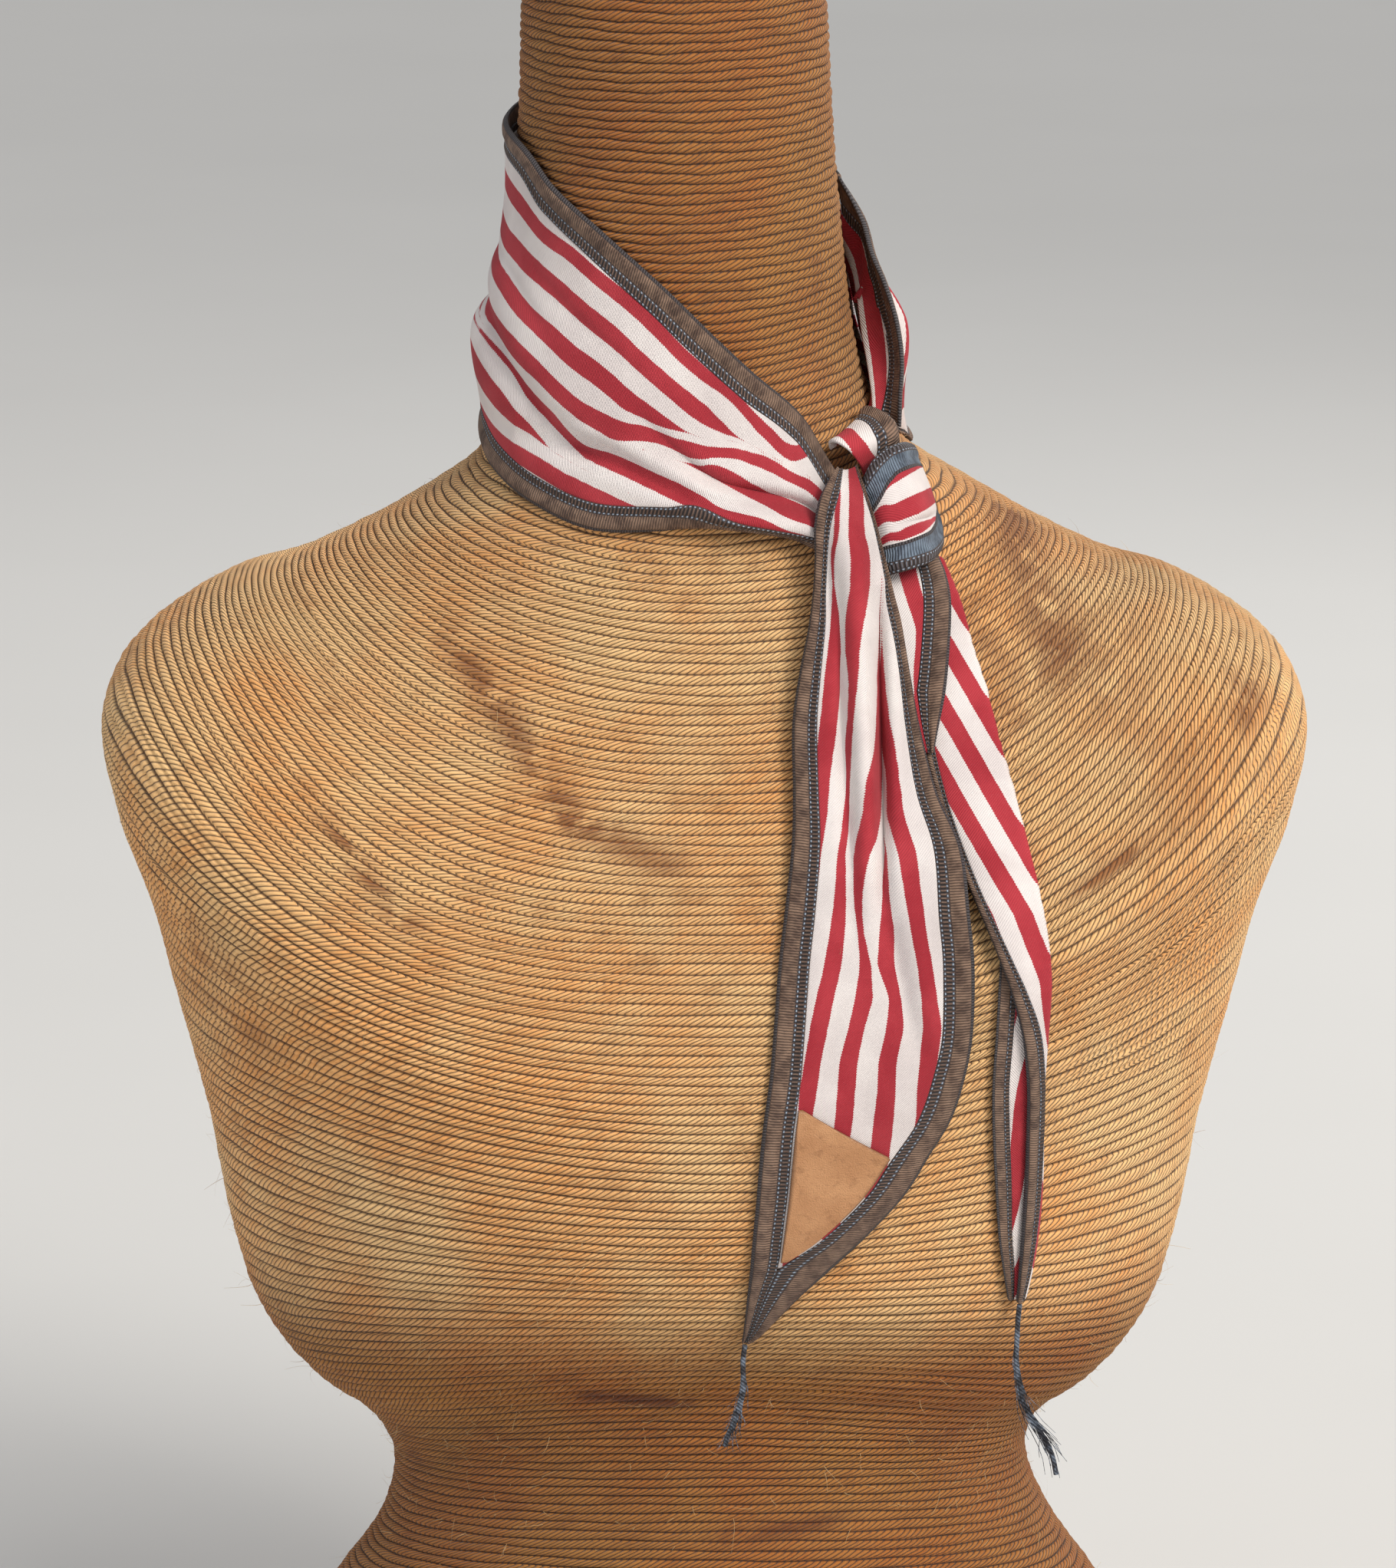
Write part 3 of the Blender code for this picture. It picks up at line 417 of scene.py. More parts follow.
def twine_finish():
    """Jute of slanting plies: fibres along each ply, painted shade between the plies and in the
    grooves between turns.
    """
    made, tree, shader = new_finish("twine", 0.85, Sheen_Weight=0.1, Sheen_Roughness=0.5)
    along, turn = uv_parts(tree, "winding")
    number = sum_of(tree, "FLOOR", turn)
    across = sum_of(tree, "FRACT", turn)
    seed = node(tree, "TexWhiteNoise", {"W": number}, noise_dimensions="1D").outputs[0]
    wander = noise(tree, vector_of(tree, along, number), 60.0, 1.0)
    lay = sum_of(tree, "MULTIPLY", along, 1 / PLY_PITCH)
    lay = sum_of(tree, "MULTIPLY_ADD", across, 2.5, lay)
    lay = sum_of(tree, "MULTIPLY_ADD", seed, 31.0, lay)
    lay = sum_of(tree, "MULTIPLY_ADD", wander, 1.6, lay)
    ply_number = sum_of(tree, "FLOOR", lay)
    ply_part = sum_of(tree, "FRACT", lay)
    ply = sum_of(tree, "SINE", sum_of(tree, "MULTIPLY", ply_part, np.pi))
    tint = node(
        tree, "TexWhiteNoise",
        {"Vector": vector_of(tree, ply_number, number)}, noise_dimensions="2D",
    ).outputs[0]
    fibre_place = vector_of(
        tree, sum_of(tree, "MULTIPLY", along, 330.0), sum_of(tree, "MULTIPLY", lay, 5.0), number
    )
    fibre = noise(tree, fibre_place, 1.0, 4.0, 0.65)
    place = node(tree, "TexCoord").outputs["Object"]
    patches = noise(tree, place, 16.0, 4.0)
    small_patches = noise(tree, place, 90.0, 3.0)
    colour = mixed(tree, steps_between(tree, patches, 0.36, 0.66), TWINE_TAN, TWINE_PALE)
    share = steps_between(tree, small_patches, 0.5, 0.78, 0, 0.55)
    colour = mixed(tree, share, colour, TWINE_BROWN)
    colour = mixed(tree, sum_of(tree, "MULTIPLY", tint, 0.40), colour, TWINE_PALE)
    share = steps_between(tree, fibre, 0.52, 0.72, 0, 0.55)
    colour = mixed(tree, share, colour, TWINE_BROWN)
    share = steps_between(tree, fibre, 0.48, 0.30, 0, 0.45)
    colour = mixed(tree, share, colour, TWINE_PALE)
    # Painted shade: darker in the hollows between plies, where the bump is low.
    ply_shade = steps_between(tree, ply, 0.55, 0.05, 0, 0.78)
    colour = mixed(tree, ply_shade, colour, PAINTED_PLY_SHADE)
    # Painted shade: darker towards the grooves at both sides of each turn.
    side = sum_of(tree, "ABSOLUTE", sum_of(tree, "MULTIPLY_ADD", across, 2.0, -1.0))
    groove = steps_between(tree, side, 0.70, 0.97, 0, 0.88)
    colour = mixed(tree, groove, colour, PAINTED_GROOVE_SHADE)
    stain = node(tree, "Attribute", attribute_name="stain").outputs["Fac"]
    stain = sum_of(tree, "MULTIPLY", stain, steps_between(tree, small_patches, 0.30, 0.5))
    stain = sum_of(tree, "MULTIPLY", stain, steps_between(tree, seed, 0.05, 0.45, 0.35, 1))
    colour = mixed(tree, sum_of(tree, "MINIMUM", stain, 0.85), colour, STAINED)
    level = node(tree, "SeparateXYZ", {0: place}).outputs[2]
    low_or_high = sum_of(
        tree, "MAXIMUM",
        steps_between(tree, level, 0.435, 0.52),
        steps_between(tree, level, 0.225, 0.180),
    )
    colour = mixed(tree, low_or_high, colour, DARKER, "MULTIPLY")
    height = sum_of(tree, "MULTIPLY_ADD", fibre, 0.45, sum_of(tree, "POWER", ply, 0.6))
    join_colour(tree, shader, colour, height, 0.0009)
    return made


def wind_twine():
    """The form's loops with a round ridge for each turn, in three parts.

    Gives the form's smooth surface and its normals, for what stands off it.

    A turn bulges as a half round between two grooves. Where the loops lie far
    apart, as under the arms, a second groove parts each turn in two.
    """
    place, number = front_turns()
    even = np.linspace(-np.pi, np.pi, COLUMNS_ROUND, endpoint=False)
    power = smooth_rows(LOOP_ROWS, place)[:, 7]
    # Columns gather at the corners of the squarer loops.
    bunching = 0.2 * np.clip((1 - power) / 0.4, 0, 1)
    turn = even[None, :] - bunching[:, None] * np.sin(4 * even)[None, :]
    smooth = loop_point(place[:, None], turn)
    normal = outward_of(smooth, True)
    gap = np.linalg.norm(np.gradient(smooth, axis=0), axis=2) * ROWS_PER_TURN
    # The turns wander a little up and down as they go round.
    count = number[:, None]
    wander = 0.11 * np.sin(3 * even + 0.37 * count) + 0.07 * np.sin(11 * even - 1.3 * count)
    wander = wander + 0.05 * np.sin(23 * even + 2.1 * count)
    wound = count + wander
    across = wound % 1
    # One turn is a little thicker or thinner than the next.
    draw = np.random.default_rng(3)
    thickness = draw.uniform(-0.22, 0.12, int(number[-1]) + 3) * MM
    raised = thickness[np.clip(np.floor(wound), 0, number[-1]).astype(int)]
    ridge = 1 - np.abs(2 * across - 1) ** 2.6
    pair = 1 - np.abs(4 * (across % 0.5) - 1) ** 2.6
    split = np.clip((gap - SPLIT_SPACING) / (1.2 * MM), 0, 1)
    ridge = ridge * (1 - split) + pair * split
    points = smooth + normal * ((ridge - 1) * TURN_RISE + raised * ridge)[..., None]
    # Metres along each turn from the middle of the front, the same for all its rows.
    step = np.linalg.norm(np.roll(smooth, -1, 1) - smooth, axis=2)
    along = np.cumsum(step, 1) - step
    whole = along[:, -1:] + step[:, -1:]
    along = np.concatenate([along, whole], 1)
    middle = ((np.floor(number) + 0.5) * ROWS_PER_TURN).astype(int)
    middle = np.minimum(middle, len(number) - 1)
    front = COLUMNS_ROUND // 2
    along = (along - along[:, front : front + 1])[middle]
    stain = stain_at(points)
    points = points + TO_MIDDLE

    last = len(place) - 1
    finish = twine_finish()
    for name, (start, end) in TWINE_PARTS.items():
        first, final = int(start * last), int(end * last)
        ring = slice(first, final + 1)
        grid, arcs = points[ring], along[ring]
        numbers = np.concatenate([wound[ring], wound[ring, :1]], 1)
        stains = stain[ring]
        if name == "neck":
            shares = np.array(DOME_SHARES)[:, None]
            centre = grid[0].mean(0)
            dome = centre + (grid[0] - centre) * shares[..., None]
            dome[..., 2] += CAP_RISE * (1 - shares**2.2)
            grid = np.concatenate([dome, grid])
            above = np.arange(0.5 - len(shares), 0)[:, None]
            numbers = np.concatenate([above + numbers[:1], numbers])
            arcs = np.concatenate([arcs[0] * shares, arcs])
            stains = np.concatenate([np.zeros_like(dome[..., 0]), stains])
        rows = len(grid)
        faces = grid_faces(rows, COLUMNS_ROUND, True)
        wide = grid_faces(rows, COLUMNS_ROUND + 1)
        corner_map = np.stack([arcs, numbers], -1).reshape(-1, 2)[wide.ravel()]
        mesh = bpy.data.meshes.new("twine_" + name)
        bottom = (rows - 1) * COLUMNS_ROUND
        ends = {
            "neck": [list(range(COLUMNS_ROUND))],
            "skirt": [list(range(bottom + COLUMNS_ROUND - 1, bottom - 1, -1))],
        }.get(name, [])
        mesh.from_pydata(grid.reshape(-1, 3).tolist(), [], faces.tolist() + ends)
        layer = mesh.uv_layers.new(name="winding")
        pairs = np.zeros((len(mesh.loops), 2), np.float32)
        pairs[: len(corner_map)] = corner_map
        layer.data.foreach_set("uv", pairs.ravel())
        mark = mesh.attributes.new("stain", "FLOAT", "POINT")
        mark.data.foreach_set("value", stains.astype(np.float32).ravel())
        mesh.materials.append(finish)
        mesh.shade_smooth()
        place_piece("twine_" + name, mesh, "twine", "dress_form")
    return smooth + TO_MIDDLE, normal


twine_surface, twine_outward = wind_twine()

# Loose jute fibres stand off the turns, more of them on the lower bust. Each is
# a hair-thin strip of four short faces that curls away from the surface.
HAIRS = 1500
HAIR_WIDTH = 0.16 * MM
HAIR_POINTS = 5
HAIR_DARK = (0.34, 0.19, 0.07, 1)
HAIR_PALE = (0.72, 0.52, 0.27, 1)


def grow_hairs():
    """Strips from random points of the winding, bent along it and outwards."""
    draw = np.random.default_rng(7)
    rows, columns_round, _ = twine_surface.shape
    row = draw.integers(int(rows * 0.24), rows - 30, HAIRS)
    low = draw.random(HAIRS) < 0.45
    row = np.where(low, draw.integers(int(rows * 0.62), int(rows * 0.80), HAIRS), row)
    column = draw.integers(0, columns_round, HAIRS)
    root = twine_surface[row, column]
    out = twine_outward[row, column]
    side = twine_surface[row, (column + 1) % columns_round] - root
    side = side / np.linalg.norm(side, axis=1, keepdims=True)
    up = np.cross(side, out)
    length = draw.uniform(2.5, 8.5, HAIRS)[:, None] * MM
    heading = draw.uniform(-1, 1, (HAIRS, 2))
    lift = out * draw.uniform(0.2, 0.7, (HAIRS, 1))
    aim = side * heading[:, :1] + up * heading[:, 1:] + lift
    bend = draw.normal(0, 0.45, (HAIRS, 3)) - out * 0.35
    part = np.linspace(0, 1, HAIR_POINTS)[None, :, None]
    line = root[:, None] + (aim[:, None] * part + bend[:, None] * part**2) * length[:, None]
    width = np.cross(aim, out)
    width = width / np.linalg.norm(width, axis=1, keepdims=True)
    points, faces = ribbons(line, width, HAIR_WIDTH)
    made, tree, shader = new_finish("jute_fibre", 0.7)
    place = node(tree, "TexCoord").outputs["Object"]
    share = noise(tree, place, 400.0, 2.0)
    join_colour(tree, shader, mixed(tree, share, HAIR_DARK, HAIR_PALE))
    new_piece("loose_fibres", points, faces, {}, made, "twine")


grow_hairs()

# The scarf is a slim kerchief of striped cotton twill. Between its front end
# and the knot it lies round the neck in soft folds, as a standing collar.
CLOTH_WALL = 1.1 * MM
BORDER_WALL = 1.8 * MM
BORDER_WIDTH = 9.0 * MM
NECK_AXIS_X = -6 * MM
# A red that closes up to less than twice this many mm isn't drawn.
NARROWEST_RED = 0.12
# The surface of each stretch is worked out at these places across it, and its
# cloth and borders are then cut from that at even steps.
FINE_PLACES = np.linspace(0, 1, 193)
CLOTH_POINTS = 120
BORDER_POINTS = 13
THREAD_PITCH = 0.42 * MM
STEP_PITCH = 0.8 * MM
RED_DEEP = (0.39, 0.014, 0.027, 1)
RED_WORN = (0.52, 0.034, 0.050, 1)
RED_FLECK = (0.80, 0.40, 0.42, 1)
# Painted shade in the twill's furrows of the red.
RED_TWILL_SHADE = (0.22, 0.008, 0.018, 1)
WHITE_DULL = (0.76, 0.68, 0.66, 1)
WHITE_CLEAN = (0.88, 0.81, 0.78, 1)
# Painted shade in the twill's furrows of the white.
WHITE_TWILL_SHADE = (0.45, 0.38, 0.39, 1)
# The border's stitches: how far one lies from the next, and their threads.
LADDER_PITCH = 1.2 * MM
CHAIN_PITCH = 1.5 * MM
SATIN_PITCH = 0.85 * MM
CROSS_PITCH = 3.1 * MM
OVERCAST_PITCH = 0.9 * MM
SATIN_DULL = (0.100, 0.054, 0.036, 1)
SATIN_BRIGHT = (0.275, 0.170, 0.115, 1)
STITCH_BLACK = (0.022, 0.016, 0.016, 1)
LADDER_BROWN = (0.078, 0.046, 0.036, 1)
CHAIN_BLUE = (0.085, 0.115, 0.175, 1)
CHAIN_PALE = (0.42, 0.49, 0.58, 1)
OVERCAST_GREY = (0.075, 0.066, 0.072, 1)
# The band round the neck. Columns: angle (degrees from the front, + to the
# right), height and distance off the form (mm) of its top edge, the distances
# off at a third and two thirds of its width, then angle, height and distance
# of its hem, and how much the hem is turned in under the band (0 to 1). It runs
# from the knot over the front, left and back.
BAND = {
    "at_knot": (44, 474, 5, 9, 10, 34, 453, 1.6, 1),
    "beside_knot": (38, 490, 3.5, 8.5, 11, 27, 457, 1.6, 1),
    "front_right": (22, 505, 2.5, 7, 10.5, 9, 460, 1.6, 0.9),
    "front": (10, 516, 1.5, 5.5, 8.5, -7, 457, 1.2, 0.4),
    "front_left": (-8, 532, 1.2, 4.5, 7, -27, 456, 1.2, 0),
    "left_front": (-30, 548, 1.2, 3.5, 7, -48, 462, 1.2, 0),
    "left_side": (-50, 560, 1.5, 2.6, 8.5, -67, 469, 1.5, 0),
    "left": (-67, 571, 2.5, 2.6, 10.5, -93, 478, 3, 0),
    "left_back": (-100, 577, 3, 2.6, 9, -118, 478, 2.5, 0),
    "back_left": (-140, 580, 2, 3, 5, -150, 476, 1.5, 0),
    "back": (-180, 576, 1.5, 3, 4.5, -182, 474, 1.5, 0),
    "back_right": (-218, 566, 1.5, 3, 5, -214, 470, 1.5, 0),
    "right_back": (-250, 556, 2, 3.5, 6, -244, 466, 1.5, 0),
}
# Folds along the band. Columns: rows where it starts and ends, its place
# across the width at its start, middle and end, rise (mm, - is a trough), and
# its reach across the width towards the top edge and towards the hem.
BAND_FOLDS = {
    "upper_fold": (-1.0, 4.0, 0.30, 0.44, 0.50, -5.0, 0.045, 0.10),
    "lower_fold": (1.6, 5.6, 0.62, 0.70, 0.80, -4.5, 0.10, 0.045),
    "side_crease": (4.2, 9.4, 0.77, 0.60, 0.55, -4.0, 0.06, 0.045),
    "nape_fold": (8.6, 12.4, 0.72, 0.60, 0.52, -2.2, 0.06, 0.06),
    "collar_roll": (9.0, 12.6, 0.22, 0.26, 0.30, 1.6, 0.08, 0.08),
}
# Smaller creases, in the same columns.
BAND_CREASES = {
    "under_upper": (0.6, 3.4, 0.36, 0.52, 0.57, 1.1, 0.05, 0.03),
    "over_lower": (2.4, 5.2, 0.56, 0.62, 0.72, 1.2, 0.03, 0.05),
    "front_dent": (1.2, 3.0, 0.20, 0.24, 0.22, -0.9, 0.04, 0.05),
    "left_pull": (3.6, 6.2, 0.36, 0.33, 0.30, -0.8, 0.03, 0.04),
    "side_pull": (5.4, 8.0, 0.44, 0.40, 0.42, -0.9, 0.03, 0.03),
    "hem_wave": (3.8, 6.4, 0.90, 0.88, 0.92, 0.9, 0.05, 0.06),
    "nape_pull": (7.6, 10.0, 0.38, 0.46, 0.50, -0.9, 0.04, 0.05),
    "nape_low": (9.2, 11.8, 0.84, 0.80, 0.84, -0.8, 0.05, 0.04),
    "nape_top": (8.2, 10.6, 0.16, 0.18, 0.22, -0.7, 0.04, 0.05),
}
# Where the stripes' edges cross the band. Columns: row, then the places across
# of where each of its eight reds starts and ends. A pair that closes up is in
# a fold there.
BAND_STRIPES = (
    (0.0,
     -0.02, 0.10, 0.242, 0.244, 0.248, 0.250, 0.255, 0.33,
     0.435, 0.60, 0.70, 0.80, 0.830, 0.832, 0.87, 0.93),
    (0.7,
     0.03, 0.11, 0.242, 0.244, 0.248, 0.250, 0.255, 0.33,
     0.435, 0.60, 0.70, 0.80, 0.830, 0.832, 0.87, 0.93),
    (1.2,
     0.165, 0.24, 0.252, 0.254, 0.262, 0.264, 0.275, 0.335,
     0.435, 0.595, 0.69, 0.79, 0.825, 0.827, 0.86, 0.92),
    (1.5,
     0.135, 0.20, 0.238, 0.240, 0.243, 0.245, 0.25, 0.315,
     0.395, 0.52, 0.62, 0.74, 0.820, 0.822, 0.86, 0.92),
    (2.0,
     0.10, 0.15, 0.232, 0.236, 0.250, 0.252, 0.275, 0.32,
     0.375, 0.48, 0.63, 0.74, 0.815, 0.817, 0.85, 0.92),
    (2.4,
     0.095, 0.14, 0.22, 0.27, 0.290, 0.292, 0.32, 0.37,
     0.39, 0.47, 0.585, 0.70, 0.800, 0.802, 0.84, 0.91),
    (2.7,
     0.10, 0.15, 0.225, 0.29, 0.335, 0.337, 0.365, 0.425,
     0.455, 0.495, 0.59, 0.72, 0.790, 0.792, 0.835, 0.90),
    (3.0,
     0.11, 0.165, 0.23, 0.31, 0.370, 0.372, 0.40, 0.47,
     0.515, 0.517, 0.60, 0.725, 0.785, 0.787, 0.83, 0.90),
    (3.5,
     0.125, 0.187, 0.255, 0.33, 0.40, 0.45, 0.47, 0.53,
     0.565, 0.567, 0.645, 0.74, 0.785, 0.787, 0.83, 0.90),
    (4.0,
     0.125, 0.19, 0.275, 0.35, 0.43, 0.51, 0.55, 0.63,
     0.655, 0.657, 0.68, 0.76, 0.790, 0.792, 0.83, 0.90),
    (4.5,
     0.12, 0.18, 0.255, 0.335, 0.41, 0.49, 0.565, 0.635,
     0.700, 0.702, 0.72, 0.775, 0.800, 0.802, 0.835, 0.90),
    (5.0,
     0.12, 0.178, 0.252, 0.33, 0.405, 0.48, 0.545, 0.605,
     0.640, 0.642, 0.655, 0.72, 0.795, 0.800, 0.835, 0.895),
    (5.4,
     0.12, 0.175, 0.25, 0.325, 0.40, 0.47, 0.53, 0.59,
     0.620, 0.622, 0.645, 0.70, 0.75, 0.79, 0.845, 0.905),
    (6.0,
     0.14, 0.20, 0.262, 0.335, 0.41, 0.47, 0.525, 0.595,
     0.610, 0.612, 0.63, 0.655, 0.71, 0.79, 0.86, 0.92),
    (7.0,
     0.15, 0.22, 0.30, 0.37, 0.42, 0.47, 0.54, 0.62,
     0.632, 0.634, 0.642, 0.648, 0.69, 0.79, 0.885, 0.925),
    (9.0,
     0.125, 0.175, 0.225, 0.275, 0.325, 0.375, 0.425, 0.475,
     0.525, 0.575, 0.625, 0.675, 0.725, 0.775, 0.825, 0.875),
    (12.0,
     0.125, 0.175, 0.225, 0.275, 0.325, 0.375, 0.425, 0.475,
     0.525, 0.575, 0.625, 0.675, 0.725, 0.775, 0.825, 0.875),
)


def loop_at_height(height_of, z, shape):
    """The place down the rows where height_of(place) is z, by halving."""
    low = np.zeros(shape)
    high = low + len(LOOP_ROWS) - 1
    for _ in range(34):
        place = (low + high) / 2
        above = height_of(place) > z
        low, high = np.where(above, place, low), np.where(above, high, place)
    return (low + high) / 2


def neck_radius(angle, z):
    """Distance from the neck's upright axis to the form, towards an angle."""
    angle, z = np.broadcast_arrays(np.asarray(angle, float), np.asarray(z, float))
    across, along = np.sin(angle), np.cos(angle)

    def reach_at(place):
        rows = np.moveaxis(smooth_rows(LOOP_ROWS, place), -1, 0)
        depth = np.where(along > 0, -rows[2], rows[4])
        shift = NECK_AXIS_X - rows[6]
        a = (across / rows[0]) ** 2 + (along / depth) ** 2
        b = 2 * shift * across / rows[0] ** 2
        c = (shift / rows[0]) ** 2 - 1
        reach = (np.sqrt(b * b - 4 * a * c) - b) / (2 * a)
        side = np.clip(((shift + reach * across) / rows[0]) ** 2, 0, 1)
        end_z = np.where(along > 0, rows[3], rows[5])
        return reach, end_z + (rows[1] - end_z) * side

    place = loop_at_height(lambda where: reach_at(where)[1], z, angle.shape)
    return reach_at(place)[0]


def round_neck(angle, z, off):
    """A point off the neck, from its angle (degrees), height and distance."""
    turn = np.radians(angle)
    reach = neck_radius(turn, z) + off
    return np.stack([NECK_AXIS_X + reach * np.sin(turn), -reach * np.cos(turn), z], -1)


def fold_rise(fold, along, across):
    """A soft ridge or trough: a bell across it, swelling and dying along it."""
    start, end, first, middle, last, rise, before, after = fold
    part = np.clip((along - start) / (end - start), 0, 1)
    centre = first + (last - first) * part + 4 * part * (1 - part) * (
        middle - (first + last) / 2
    )
    reach = np.where(across < centre, before, after)
    swell = np.sin(np.pi * part) ** 0.7
    return rise * MM * swell * np.exp(-(((across - centre) / reach) ** 2))


def spread(values, across):
    """Values at even places across the width, joined by a smooth curve."""
    rows = np.moveaxis(np.asarray(values), 0, 1)
    count = rows.shape[1] - 1
    return np.stack(
        [smooth_rows(row[:, None], across * count)[..., 0] for row in rows]
    )


def arc_lengths(points):
    """Distance across each row of a grid of points."""
    steps = np.linalg.norm(np.diff(points, axis=1), axis=2)
    return np.concatenate([np.zeros((len(points), 1)), np.cumsum(steps, 1)], 1)


def slice_rows(points, start, end, count):
    """Each row of a fine grid, cut from start to end of its own length."""
    arcs = arc_lengths(points)
    part = np.linspace(0, 1, count)
    rows = []
    for row, arc, first, last in zip(points, arcs, start, end):
        wanted = first + (last - first) * part
        rows.append(np.stack([np.interp(wanted, arc, row[:, i]) for i in range(3)], 1))
    return np.array(rows)


def edge_widths(points, width):
    """Border width along each row, wider where the edge slants across it."""
    lengths = arc_lengths(points)[:, -1]
    widths = []
    for side in (0, -1):
        run = np.gradient(points[:, side], axis=0)
        level = points[:, -1] - points[:, 0]
        level = level / np.linalg.norm(level, axis=1)[:, None]
        run = run / np.linalg.norm(run, axis=1)[:, None]
        slant = np.sqrt(np.maximum(1 - np.sum(run * level, 1) ** 2, 0.16))
        widths.append(width / slant)
    return lengths, widths[0], widths[1]


def band_surface(place, across):
    """The band's inner face: rows along it, places across from top to hem."""
    rows = smooth_rows(columns(BAND, [1, MM, MM, MM, MM, 1, MM, MM, 1]), place)
    top_angle, top_z, top_off, upper_off, lower_off, hem_angle, hem_z, hem_off = rows.T[:8]
    down = across + 1.3 * rows[:, 8:] * across * (1 - across)
    angle = top_angle[:, None] + (hem_angle - top_angle)[:, None] * down
    z = top_z[:, None] + (hem_z - top_z)[:, None] * down
    off = spread([top_off, upper_off, lower_off, hem_off], across)
    for fold in [*BAND_FOLDS.values(), *BAND_CREASES.values()]:
        off = off + fold_rise(fold, place[:, None], across[None, :])
    return round_neck(angle, z, np.maximum(off, 0.8 * MM))


def depth_in_red(table, rows, places, widths=1.0):
    """How far inside a red each point is, in mm: less than nothing in the white.

    The edges of each row are blended down the table, eased at its rows. Each
    red's depth is the distance to its nearer edge, and the deepest one counts.
    """
    table = np.array(table, float)
    ease = 0.15 * (table[-1, 0] - table[0, 0]) / len(table)
    rows = np.asarray(rows)[:, None] + [-ease, 0, ease]
    edges = np.stack(
        [np.interp(rows, table[:, 0], column).mean(1) for column in table[:, 1:].T], 1
    )
    starts, ends = edges[:, None, ::2], edges[:, None, 1::2]
    within = np.minimum(places[..., None] - starts, ends - places[..., None]).max(-1)
    return within * np.reshape(widths, (-1, 1)) - NARROWEST_RED


def eased(normals, passes=5):
    """Normals averaged with their neighbours', so a wall doesn't cross in a fold."""
    for _ in range(passes):
        for axis in (0, 1):
            ends = [(1, 1) if i == axis else (0, 0) for i in range(3)]
            wide = np.pad(normals, ends, mode="edge")
            count = wide.shape[axis]
            before = np.take(wide, range(count - 2), axis)
            after = np.take(wide, range(2, count), axis)
            normals = (before + 2 * normals + after) / 4
    return normals / np.linalg.norm(normals, axis=-1, keepdims=True)


def slab(name, inner, rises, maps, finish, slot, *stands_for):
    """A sheet with its wall: the inner grid, and an outer one raised off it.

    The outer face stands off by its rise along the inner one's normals, and a
    rim closes the two faces all round.
    """
    rows, across, _ = inner.shape
    outer = inner + eased(outward_of(inner)) * rises[..., None]
    points = np.concatenate([outer.reshape(-1, 3), inner.reshape(-1, 3)]) + TO_MIDDLE
    faces = grid_faces(rows, across)
    count = rows * across
    corner = np.arange(count).reshape(rows, across)
    rim = np.concatenate([
        corner[:-1, 0], corner[-1, :-1], corner[:0:-1, -1], corner[0, :0:-1],
    ])
    after = np.roll(rim, -1)
    sides = np.stack([after, rim, rim + count, after + count], 1)
    whole = np.concatenate([faces, faces[:, ::-1] + count, sides])
    doubled = {
        key: np.concatenate([pairs.reshape(-1, 2)] * 2) for key, pairs in maps.items()
    }
    return new_piece(name, points, whole, doubled, finish, slot, *stands_for)


def soft_rims(rows, across, wall, reach=3):
    """A wall that thins towards the sheet's four edges, as a turned edge does."""
    down = np.minimum(np.arange(rows), np.arange(rows)[::-1])[:, None] / reach
    right = np.minimum(np.arange(across), np.arange(across)[::-1])[None, :] / reach
    near = np.clip(np.minimum(down, right), 0, 1)
    return wall * (0.55 + 0.45 * np.sqrt(near * (2 - near)))


def cloth_waves(points, rise=0.22 * MM):
    """Faint unevenness of soft cotton: three slow waves of uneven lengths."""
    x, y, z = np.moveaxis(points / MM, -1, 0)
    wave = np.sin(x / 5.1 + z / 9.3) + np.sin(z / 6.7 - y / 7.9 + 1.3)
    return rise * (wave + np.sin((x - z) / 3.7 + y / 4.3 + 2.1)) / 3


